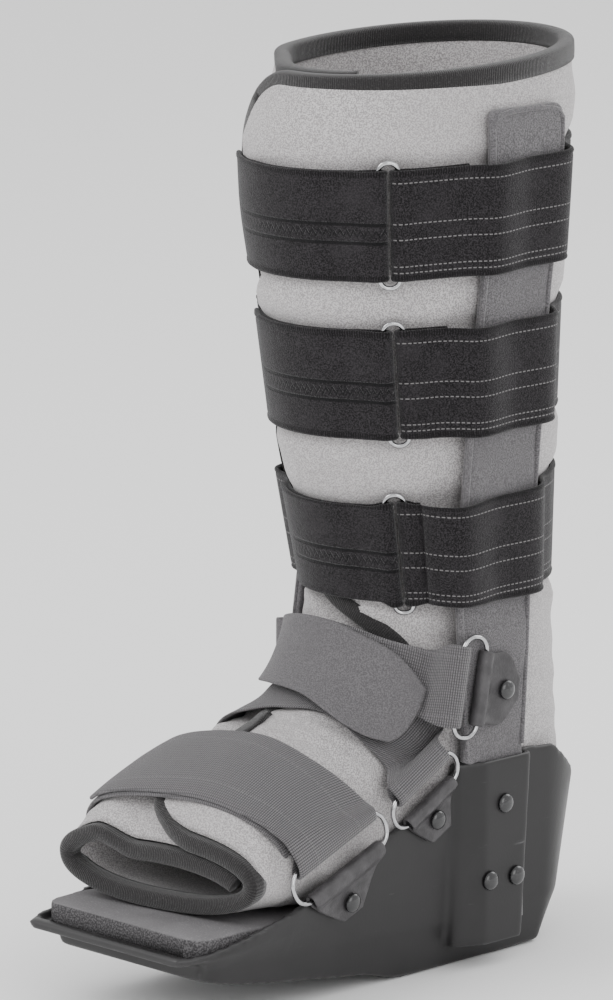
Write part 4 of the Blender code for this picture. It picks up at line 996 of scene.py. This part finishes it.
def webbing_material():
    n = Nodes("strap_webbing", 0.8, Sheen_Weight=0.2, Specular_IOR_Level=0.3)
    pick, end = n.wave(n.along, 0.0011), n.wave(n.across, 0.0013)
    weave = n.do("MULTIPLY", n.ramp(pick, 0.5, 0.1), n.ramp(end, 0.5, 0.2, 0.4, 1.0))
    grain = n.noise(900, 3)
    base = n.mix(weave, (0.040, 0.038, 0.040), (0.165, 0.158, 0.165))
    base = n.mix(n.do("MULTIPLY", n.ramp(grain, 0.45, 0.7), 0.45), base, (0.085, 0.081, 0.085))
    stitches = n.do("MAXIMUM", n.dashes(-0.0145), n.dashes(0.0145))
    n.colour(n.mix(n.do("MULTIPLY", stitches, 0.4), base, (0.20, 0.195, 0.20)))
    n.bump(weave, 0.0005, 0.8)
    n.bump(grain, 0.0005, 0.4)
    return n.material


def vinyl_material():
    n = Nodes("bracket_vinyl", 0.5, Specular_IOR_Level=0.5)
    grain = n.cells(900)
    base = n.mix(n.ramp(n.noise(120, 4), 0.35, 0.7), (0.034, 0.032, 0.034), (0.060, 0.057, 0.060))
    n.colour(base)
    n.put(n.ramp(n.noise(260, 3), 0.3, 0.7, 0.38, 0.62), n.shader.inputs["Roughness"])
    n.bump(grain, 0.0003, 0.5)
    return n.material


def chrome_material():
    n = Nodes("ring_chrome", 0.14, Metallic=1.0)
    n.colour(n.mix(n.ramp(n.noise(300, 4), 0.4, 0.75), (0.52, 0.52, 0.53), (0.34, 0.34, 0.35)))
    n.put(n.ramp(n.noise(420, 4, (1, 1, 1), 0.7), 0.35, 0.8, 0.08, 0.30), n.shader.inputs["Roughness"])
    n.bump(n.noise(700, 2), 0.00005, 0.2)
    return n.material


def rivet_material():
    n = Nodes("rivet_lacquer", 0.16, Specular_IOR_Level=0.6, Coat_Weight=0.4, Coat_Roughness=0.08)
    n.colour(n.mix(n.ramp(n.noise(700, 4), 0.55, 0.8), (0.006, 0.006, 0.007), (0.05, 0.05, 0.052)))
    n.put(n.ramp(n.noise(500, 4), 0.4, 0.8, 0.12, 0.32), n.shader.inputs["Roughness"])
    return n.material


LINER_CLOTH = liner_material()
KNIT = knit_material()
SHELL = shell_material()
FOAM = foam_material()
COVER = upright_material()
STITCHED = velour_material("strap_velour_stitched", True, (0.006, 0.0055, 0.006), (0.036, 0.033, 0.036),
                           (0.034, 0.031, 0.034))
VELOUR = velour_material("strap_velour", False, (0.088, 0.084, 0.088), (0.150, 0.144, 0.150),
                         (0.11, 0.105, 0.11))
WEBBING = webbing_material()
VINYL = vinyl_material()
CHROME = chrome_material()
LACQUER = rivet_material()


# Liner and its binding

PUFF = 0.0016              # padding's rise between the straps
EDGE_RUN = 0.02            # distance over which the padding thins to its binding
PRESS_RUN = 0.008          # distance from a calf strap's edge to where the padding is full again
UNDER_STRAP = 0.0018       # padding left full under a calf strap, before it is pressed
TUCK_SHARE = (0.86, 0.05)  # share of the wrap where the hidden flap turns flat, and its run
BINDING_WIDTH = 0.0068
BINDING_INNER = 0.0003     # binding's inner face short of the liner's
BINDING_HALF = LINER_WALL / 2 + 0.0013
BINDING_NOSE = 0.0015      # binding's fold beyond the liner's edge
BINDING_PRESS = 0.6        # share of the straps' press that the binding takes
CORNER = (0.03, 0.45)      # rounding of the flap's corners: share of the wrap, and stations


def ripple(u, station):
    """Slow waves of the padding, within about one millimetre."""
    return (0.0005 * np.sin(station * 5.1 + 9 * u) * np.sin(u * 31 + 1.7)
            + 0.0004 * np.sin(station * 11.3 - 14 * u + 0.6) + 0.0003 * np.sin(u * 57 + station * 3.1))


def pressed(u, station):
    """Depth by which the calf straps push the padding in."""
    start = smooth(STATIONS, NEAR_EDGE, station)
    angle = start + (360 + smooth(STATIONS, FAR_END, station) - start) * u
    along = np.interp(station, STATIONS, ALONG)
    share = np.zeros(np.shape(angle))
    for front, back, _, _ in CALF_STRAPS.values():
        centre = front + (back - front) * (1 - np.cos(np.radians(angle))) / 2
        gap = np.abs(along - np.interp(centre, STATIONS, ALONG)) - CALF_STRAP_WIDTH / 2
        share = np.maximum(share, 1 - np.clip(gap / PRESS_RUN, 0, 1)**0.7)
    return share * (CALF_PRESS + 0.0001)


def dress_liner():
    u = np.linspace(0, 1, 230)
    station = np.interp(np.linspace(0, ALONG[-1], 160), ALONG, STATIONS)
    u, station = np.meshgrid(u, station)
    flat = wrap_point(u, station, 0.0)
    step = np.linalg.norm(np.diff(flat, axis=1), axis=-1)
    across = np.concatenate([np.zeros((len(flat), 1)), np.cumsum(step, axis=1)], axis=1)
    step = np.linalg.norm(np.diff(flat, axis=0), axis=-1)
    along = np.concatenate([np.zeros((1, flat.shape[1])), np.cumsum(step, axis=0)], axis=0)
    from_edge = np.minimum(np.minimum(across, along), along[-1:] - along)
    rise = np.clip(from_edge / EDGE_RUN, 0, 1)
    rise = rise * rise * (3 - 2 * rise)
    tucked = np.clip((u - TUCK_SHARE[0]) / TUCK_SHARE[1], 0, 1)
    push = pressed(u, station)
    share = push / CALF_PRESS
    off = (PUFF + ripple(u, station)) * rise * (1 - tucked) * (1 - share) + UNDER_STRAP * share - push
    outer = wrap_point(u, station, off)
    inner = wrap_point(u, station, -LINER_WALL)
    mesh = sheet_mesh("liner_wrap", outer, inner, np.stack([across, along], -1))
    add_piece("liner_wrap", mesh, LINER_CLOTH, "liner_cloth", "liner")


def dress_binding():
    """Soft knit edging, folded round the rim, the near flap's edge and the toe opening."""
    fine_u = np.linspace(0, 1, 200)
    fine_v = np.interp(np.linspace(0, ALONG[-1], 190), ALONG, STATIONS)
    corner = 5
    path = [(u, 0.0) for u in fine_u[:corner:-1]]
    quarter = np.linspace(0, math.pi / 2, 7)
    wide, deep = CORNER
    path += [(wide * (1 - math.sin(t)), deep * (1 - math.cos(t))) for t in quarter]
    path += [(0.0, v) for v in fine_v if 0.5 < v < LAST - 0.5]
    path += [(wide * (1 - math.cos(t)), LAST - deep * (1 - math.sin(t))) for t in quarter]
    path += [(u, LAST) for u in fine_u[corner + 2:]]
    u, v = np.array(path).T
    mid = wrap_point(u, v, -LINER_WALL / 2 - BINDING_PRESS * pressed(u, v))
    out = unit(wrap_point(u, v, 0.001) - wrap_point(u, v, -0.001))
    ahead_of = unit(np.gradient(mid, axis=0))
    side = unit(np.cross(ahead_of, out))
    toward = wrap_point(np.clip(u + 0.01, 0, 1), np.clip(v, 0.4, LAST - 0.4), -LINER_WALL / 2) - mid
    side = side * np.sign((side * toward).sum(axis=1).mean())
    width, half = BINDING_WIDTH, BINDING_HALF
    turn = np.linspace(-math.pi / 2, math.pi / 2, 9)
    profile = [(width, half * 0.93), (width * 0.55, half)]
    profile += [(-BINDING_NOSE - half * 0.55 * math.cos(t) + half * 0.2, -half * math.sin(t)) for t in turn]
    inside = LINER_WALL / 2 - BINDING_INNER
    profile += [(width * 0.55, -half), (width, -half * 0.93), (width * 0.9, -inside), (width * 0.9, inside)]
    profile = np.array(profile)
    rings = [m + np.outer(profile[:, 0], s) + np.outer(profile[:, 1], o)
             for m, s, o in zip(mid, side, out)]
    run = np.concatenate([[0], np.cumsum(np.linalg.norm(np.diff(mid, axis=0), axis=1))])
    uv = [[(t * 0.001, r) for t in range(len(profile))] for r in run]
    mesh = ring_mesh("liner_binding_knit", rings, uv)
    add_piece("liner_binding_knit", mesh, KNIT, "binding_knit", "liner_binding")


# Shell, footbed and uprights

SHELL_VOXEL = 0.0014
ABOVE_RIM = 0.03           # hollow carried on above the rim
HOLLOW_LEAD = 0.004        # hollow's front ahead of the footbed
HOLLOW_STEP = 0.003        # and from there to its next section
MIDDLE_RISE = 0.002        # least heights between the hollow's levels
RIM_RISE = 0.001
CHANNEL_ROOT = 0.83        # share of SHELL_HALF from which the channels start, inside the wall
POCKET_TOP = 1.1           # share of SIDE_HEIGHT to which the pockets are cut
FOOTBED_CHAMFER = 0.0008   # footbed's lower edge; the next two are its upper edge
FOOTBED_SHOULDER = 0.002
FOOTBED_BREAK = 0.0006
FOOTBED_LEAD = 0.012       # footbed's front to its first full section
COVER_SQUARE = (0.28, 0.5)         # cover's section: powers across and through it
COVER_PUFF = (0.0005, 0.0004)      # waves of its padding
FOOTBED_NOSE = [(0.0, 0.0075), (0.0006, 0.0055), (0.002, 0.003), (0.004, 0.0012), (0.008, 0.0)]
COVER_ROUND = 0.004        # height of the cover's rounded top
COVER_CORNER = 0.006       # and how far its corners come in
PIPING_RADIUS = 0.0014
PIPING_INSET = 0.0008      # piping's middle in from the cover's face and edges
PIPING_DROP = 0.007        # cover's top to where the piping turns over
PIPING_ARCH = 0.0058


def fine_levels(y):
    halves = np.array([smooth(SHELL_Y, SHELL_HALVES[:, k], y) for k in range(4)])
    heights = np.array([np.interp(y, SHELL_Y, SHELL_ZS[:, k]) for k in range(4)])
    return halves, heights


def plain_loft(name, rings):
    obj = bpy.data.objects.new(name, ring_mesh(name, rings))
    SCENE.collection.objects.link(obj)
    return obj


def both_sides(near):
    return near + [(-x, y, z) for x, y, z in reversed(near)]


def cut(obj, cutter, operation):
    modifier = obj.modifiers.new(cutter.name, "BOOLEAN")
    modifier.operation = operation
    modifier.solver = "EXACT"
    modifier.object = cutter


def dress_shell():
    span = SHELL_Y[-1] - SHELL_Y[0]
    ys = np.unique(np.concatenate([SHELL_Y, np.linspace(SHELL_Y[0] + 0.02 * span, SHELL_Y[-1], 60)]))
    outer = []
    for y in ys:
        halves, heights = fine_levels(y)
        outer.append(both_sides(list(zip(halves, [y] * 4, heights))))
    turns = np.radians(np.linspace(3, 90, 24))
    for turn in turns:
        halves, back, heights = heel_levels(turn)
        outer.append(both_sides(list(zip(np.maximum(halves, 1e-4), back, heights))))
    shell = plain_loft("shell_outer", outer)

    inner = []
    front = -SOLE_REACH + FOOTBED_INSET - HOLLOW_LEAD
    for y in [front] + [y for y in ys if y > front + HOLLOW_STEP]:
        floor = floor_height(y)
        halves, heights = fine_levels(y)
        middle = max(heights[2], floor + MIDDLE_RISE)
        rim = max(heights[3], middle + RIM_RISE)
        levels = [np.interp(floor, heights, halves), np.interp(middle, heights, halves), halves[3], halves[3]]
        zs = [floor, middle, rim, rim + ABOVE_RIM]
        inner.append(both_sides([(h - SHELL_WALL, y, z) for h, z in zip(levels, zs)]))
    full, _ = shell_levels(SHELL_Y[-1])
    floor = floor_height(SHELL_Y[-1])
    for turn in turns:
        halves, back, heights = heel_levels(turn)
        depths = back - SHELL_Y[-1]
        share = (floor - heights[1]) / (heights[2] - heights[1])
        at_floor = full[1] + (full[2] - full[1]) * share
        deep = depths[1] + (depths[2] - depths[1]) * share
        wide = [at_floor * math.cos(turn), halves[2], halves[3], halves[3]]
        behind = [deep, depths[2], depths[3], depths[3]]
        zs = [floor, heights[2], heights[3], heights[3] + ABOVE_RIM]
        inner.append(both_sides([(max(h - SHELL_WALL * math.cos(turn), 5e-5), SHELL_Y[-1] + d
                                  - SHELL_WALL * math.sin(turn), z) for h, d, z in zip(wide, behind, zs)]))
    hollow = plain_loft("shell_hollow", inner)
    cutters = [hollow]
    half = CHANNEL_WIDTH / 2
    for side in (1, -1):
        rings = []
        for z, taper in ((CHANNEL_FOOT, CHANNEL_TAPER), (SIDE_HEIGHT, 0.0)):
            outline = [(SHELL_HALF * CHANNEL_ROOT, CHANNEL_OUTLINE[0][0])]
            outline += [(SHELL_HALF + out * (CHANNEL_STAND - SHELL_HALF), y) for y, out in CHANNEL_OUTLINE]
            outline += [(SHELL_HALF * CHANNEL_ROOT, CHANNEL_OUTLINE[-1][0])]
            rings.append([(side * x, (y + CHANNEL_CENTRE - (taper if y > 0 else 0.0)) * half, z)
                          for x, y in outline])
        channel = plain_loft("channel", rings)
        cutters.append(channel)
        cut(shell, channel, "UNION")
    cut(shell, hollow, "DIFFERENCE")
    x = SHELL_HALF + TONGUE_ROOM
    for side in (1, -1):
        outline = [(x - GAP, -1), (x + UPRIGHT_THICK + GAP, -1), (x + UPRIGHT_THICK + GAP, 1), (x - GAP, 1)]
        pocket = plain_loft("pocket", [[(side * a, b * (TONGUE_WIDTH / 2 + GAP), z) for a, b in outline]
                                       for z in (SIDE_HEIGHT - TONGUE_DEPTH, SIDE_HEIGHT * POCKET_TOP)])
        cutters.append(pocket)
        cut(shell, pocket, "DIFFERENCE")
    remesh = shell.modifiers.new("skin", "REMESH")
    remesh.mode = "VOXEL"
    remesh.voxel_size = SHELL_VOXEL
    soften = shell.modifiers.new("soften", "SMOOTH")
    soften.factor = 0.5
    soften.iterations = 5
    mesh = evaluated(shell)
    for cutter in cutters:
        bpy.data.objects.remove(cutter, do_unlink=True)
    mesh.shade_smooth()
    add_piece("shell_body", mesh, SHELL, "shell_plastic", "boot_shell")


def dress_footbed():
    front = -SOLE_REACH + FOOTBED_INSET
    rings = []

    def ring(half, y, floor):
        low, top = floor + GAP, floor + GAP + FOOTBED_THICK
        edge = [(half - FOOTBED_CHAMFER, y, low), (half, y, low + FOOTBED_CHAMFER),
                (half, y, top - FOOTBED_SHOULDER), (half - FOOTBED_BREAK, y, top - FOOTBED_BREAK),
                (half - FOOTBED_SHOULDER, y, top)]
        return both_sides(edge)

    for step, inset in FOOTBED_NOSE:
        y = front + step
        floor = floor_height(y)
        halves, heights = fine_levels(y)
        rings.append(ring(np.interp(floor, heights, halves) - SHELL_WALL - GAP - inset, y, floor))
    for y in np.linspace(front + FOOTBED_LEAD, SHELL_Y[-1], 60):
        floor = floor_height(y)
        halves, heights = fine_levels(y)
        rings.append(ring(np.interp(floor, heights, halves) - SHELL_WALL - GAP, y, floor))
    add_piece("footbed_foam_pad", ring_mesh("footbed_foam_pad", rings), FOAM, "footbed_foam", "footbed_pad")


def dress_upright(label, side):
    turn = np.linspace(0, math.tau, 40, endpoint=False)
    round_y = np.sign(np.cos(turn)) * np.abs(np.cos(turn))**COVER_SQUARE[0]
    round_x = np.sign(np.sin(turn)) * np.abs(np.sin(turn))**COVER_SQUARE[1]
    top = LEG_HEIGHT - UPRIGHT_TOP
    x = SHELL_HALF + TONGUE_ROOM

    def ring(inner, front, rear, z, thick=UPRIGHT_THICK):
        mid, half = (front + rear) / 2, (rear - front) / 2
        return [(side * (inner + thick / 2 * (1 + rx)), mid + half * ry, z)
                for rx, ry in zip(round_x, round_y)]

    tongue = TONGUE_WIDTH / 2
    rings = [ring(x, -tongue, tongue, z) for z in (SIDE_HEIGHT - TONGUE_DEPTH, SIDE_HEIGHT - COVER_ROUND)]
    for z in np.linspace(SIDE_HEIGHT + 2 * GAP, top - COVER_ROUND, 110):
        front, rear = side_edges(max(z, COVER_SECTIONS[0][0] * LEG_HEIGHT), side)
        puff = COVER_PUFF[0] * math.sin(z * 95) + COVER_PUFF[1] * math.sin(z * 161 + 1)
        rings.append(ring(float(cover_inner(z)), float(front), float(rear), z, UPRIGHT_THICK + puff))
    for step in np.linspace(0.2, 1, 5):
        z = top - COVER_ROUND + COVER_ROUND * math.sin(step * math.pi / 2)
        front, rear = cover_edges(z)
        pull = COVER_CORNER * (1 - math.cos(step * math.pi / 2))
        rings.append(ring(float(cover_inner(z)), float(front) + pull, float(rear) - pull, z,
                          UPRIGHT_THICK * (1 - 0.3 * step)))
    mesh = ring_mesh("upright_cover_" + label, rings)
    add_piece("upright_cover_" + label, mesh, COVER, "upright_cloth", "upright_" + label)
    path, normals = [], []

    def face(z):
        return side * (float(cover_inner(z)) + UPRIGHT_THICK - PIPING_INSET)

    zs = np.linspace(SIDE_HEIGHT + COVER_ROUND, top - PIPING_DROP, 90)
    for z in zs:
        path.append((face(z), float(side_edges(z, side)[0]) + PIPING_INSET, z))
        normals.append((side * 0.7, -0.7, 0))
    front, rear = cover_edges(top - PIPING_DROP + 0.001)
    for step in np.linspace(0, 1, 22):
        z = top - PIPING_DROP + PIPING_ARCH * math.sin(step * math.pi)**0.3
        inset = PIPING_INSET + 0.001 * math.sin(step * math.pi)
        path.append((face(z), float(front) + inset + (float(rear - front) - 2 * inset) * step, z))
        normals.append((side, 0, 0.3))
    for z in zs[::-1]:
        path.append((face(z), float(cover_edges(z)[1]) - PIPING_INSET, z))
        normals.append((side * 0.7, 0.7, 0))
    mesh = tube_mesh("upright_piping_" + label, path, normals, circle(PIPING_RADIUS, 10))
    add_piece("upright_piping_" + label, mesh, COVER, "upright_cloth")


# Straps, rings, brackets and rivets

RING_SHARE = 0.33          # drawn wire's radius, share of RING_WIRE
RING_ROUND = 0.92          # rounding of a ring's ends, share of half its spacing
CALF_PIPING = 0.00145
FINE_CLOTH = (0.0022, 29)  # calf strap's row spacing and columns
FINE_FOLD = (0.0007, 17)   # and a bracket's
RIVET_LIP = 0.0002         # rivet head's underside below its seat
RIVET_CROWN = 0.0001
SHANK_SHOWN = 0.003


def dress_ring(name, centre, across, up, long_inside, spacing, node):
    half_long = long_inside / 2 + RING_WIRE / 2
    half_short = spacing / 2
    radius = half_short * RING_ROUND
    half_long = half_long + (radius - (RING_ROOM + RING_WIRE) / 2) * 0.5
    path = []
    for sx, sy, first in ((1, 1, 0), (-1, 1, 90), (-1, -1, 180), (1, -1, 270)):
        for degrees in np.linspace(first, first + 90, 9):
            turn = math.radians(degrees)
            path.append(centre + across * (sx * (half_long - radius) + radius * math.cos(turn))
                        + up * (sy * (half_short - radius) + radius * math.sin(turn)))
    out = unit(np.cross(across, up))
    mesh = tube_mesh(name, path, [out] * len(path), circle(RING_WIRE * RING_SHARE, 16), closed=True)
    add_piece(name, mesh, CHROME, "ring_chrome", node)


def dress_rivet(name, place, out, node):
    turn = np.linspace(0, math.pi / 2, 9)
    profile = [(RIVET_RADIUS * math.sin(t), RIVET_HEAD * math.cos(t)**0.85 + RIVET_CROWN) for t in turn]
    profile = [(max(r, LEAST_STEP), h) for r, h in profile]
    profile += [(RIVET_RADIUS * 0.97, -RIVET_LIP), (SHANK_RADIUS, -RIVET_LIP), (SHANK_RADIUS, -SHANK_SHOWN)]
    out = unit(out)
    side = unit(np.cross(out, (0.0, 0.3, 1.0)))
    other = np.cross(out, side)
    spin = np.linspace(0, math.tau, 32, endpoint=False)
    rings = [[place + out * (GAP + h) + r * (math.cos(a) * side + math.sin(a) * other) for a in spin]
             for r, h in profile]
    add_piece(name, ring_mesh(name, rings), LACQUER, "rivet_black", node)


def dress_band(name, rows, thick, node_material, slot, node):
    add_piece(name, fine_ribbon(name, rows, thick), node_material, slot, node)


def dress_straps():
    for label, places in CALF_STRAPS.items():
        rows, (centre, across, around) = calf_strap(*places)
        mesh = fine_ribbon("calf_strap_cloth_" + label, rows, CALF_STRAP_THICK, *FINE_CLOTH, CALF_PIPING)
        add_piece("calf_strap_cloth_" + label, mesh, STITCHED, "strap_velour", "calf_strap_" + label)
        dress_ring("calf_ring_wire_" + label, centre, across, around, CALF_STRAP_WIDTH + RING_ROOM,
                   CALF_RING_SPACING, "calf_ring_" + label)
    bars = {}
    for label, spec in BRACKETS.items():
        rows, (place, out), (centre, across, up), bars[label] = bracket(spec, label == "high")
        mesh = fine_ribbon(label + "_bracket_fold", rows, BRACKET_THICK, *FINE_FOLD)
        add_piece(label + "_bracket_fold", mesh, VINYL, "bracket_vinyl", label + "_bracket")
        dress_ring(label + "_ring_wire", centre, across, up, spec[6] + RING_ROOM, spec[5], label + "_ring")
        dress_rivet(label + "_bracket_rivet_head", place, out, label + "_bracket_rivet")
    columns = 7
    thick = TOE_STRAP_THICK
    first = STRAP_LIFT + thick / 2
    second = first + thick + LAYER_GAP
    _, turn, _ = strap_turn(bars["toe"], BRACKETS["toe"][6], thick, columns)
    ends, (place, out) = far_rows(FAR_TOE, False, GAP + thick / 2, columns)
    under = table_rows(TOE_STRAP, [first], 25, columns)
    over = table_rows(TOE_STRAP[:7], [second + TOE_FOLD_RISE, second, second, second], 22, columns)
    rows = ends[::-1] + under[::-1] + reverse_side(turn) + reverse_side(over)
    dress_band("toe_strap_web", rows, thick, WEBBING, "strap_webbing", "toe_strap")
    dress_rivet("toe_strap_rivet_head", place + out * (GAP + thick), out, "toe_strap_rivet")

    thick = ANKLE_STRAP_THICK
    first = STRAP_LIFT + thick / 2
    step = thick + STACK_GAP
    second, third = first + step, first + 2 * step
    low_lifts = [first + LOW_FOLD_RISE] + [first] * 8
    high_lifts = [second + rise for rise in HIGH_FOLD_RISES] + [second] * 5
    for label, ring, table, lifts, far in (("lower", "low", ANKLE_LOWER, low_lifts, FAR_LOW),
                                           ("upper", "high", ANKLE_UPPER, high_lifts, FAR_HIGH)):
        tail, turn, above = strap_turn(bars[ring], BRACKETS[ring][6], thick, columns)
        ends, (place, out) = far_rows(far, ring == "high", GAP + thick / 2, columns)
        rows = [tail] + turn + [above] + table_rows(table, lifts, 22, columns) + ends
        name = "ankle_strap_" + label
        dress_band(name + "_web", rows, thick, WEBBING, "strap_webbing", name)
        if ring == "low":
            dress_rivet("low_strap_rivet_head", place + out * (GAP + thick), out, "low_strap_rivet")
    ends, _ = far_rows(FAR_HIGH, True, GAP + thick / 2 + step + GAP, columns)
    main = table_rows(ANKLE_OVER, [third + rise for rise in OVER_RISES], 24, columns)
    dress_band("ankle_strap_over_velour", main + ends, thick, VELOUR, "strap_velour", "ankle_strap_over")
    dress_rivet("high_strap_rivet_head", place + out * (2 * GAP + thick + step), out, "high_strap_rivet")
    for side, name in ((1, "near"), (-1, "far")):
        for number, (y, z) in enumerate(CHANNEL_RIVETS, 1):
            place = np.array([side * CHANNEL_STAND, y, z])
            dress_rivet(f"channel_rivet_head_{name}_{number}", place, X * side,
                        f"channel_rivet_{name}_{number}")


# Stage

FLOOR_HALF = 6.0
FLOOR_DROP = 0.0004
SKY_STRENGTH = 1.25
LIT_POINT = (0, -0.03, 0.2)
# Columns: name, place, size in metres, power in watts
LIGHTS = [
    ("key", (-0.9, -1.9, 2.0), 1.6, 34),
    ("fill", (2.4, -0.9, 1.2), 1.8, 20),
    ("back", (0.6, 2.2, 1.9), 1.6, 22),
]


def make_stage():
    mesh = bpy.data.meshes.new("floor")
    corners = [(x * FLOOR_HALF, y * FLOOR_HALF, 0) for x, y in ((-1, -1), (1, -1), (1, 1), (-1, 1))]
    mesh.from_pydata(corners, [], [(0, 1, 2, 3)])
    floor = bpy.data.objects.new("floor", mesh)
    floor.location.z = CAD_BOX[0][2] - FLOOR_DROP
    SCENE.collection.objects.link(floor)
    paper = Nodes("floor_paper", 0.9, Specular_IOR_Level=0.1)
    paper.colour((0.93, 0.93, 0.93))
    mesh.materials.append(paper.material)
    world = bpy.data.worlds.new("studio")
    world.use_nodes = True
    world.node_tree.nodes["Background"].inputs[0].default_value = (1.0, 1.0, 1.0, 1.0)
    world.node_tree.nodes["Background"].inputs[1].default_value = SKY_STRENGTH
    SCENE.world = world
    for name, place, size, power in LIGHTS:
        data = bpy.data.lights.new(name, "AREA")
        data.size = size
        data.energy = power
        light = bpy.data.objects.new(name, data)
        light.location = place
        light.rotation_euler = (Vector(place) - Vector(LIT_POINT)).to_track_quat("Z", "Y").to_euler()
        SCENE.collection.objects.link(light)


dress_liner()
dress_binding()
dress_shell()
dress_footbed()
dress_upright("near", 1)
dress_upright("far", -1)
dress_straps()
make_stage()
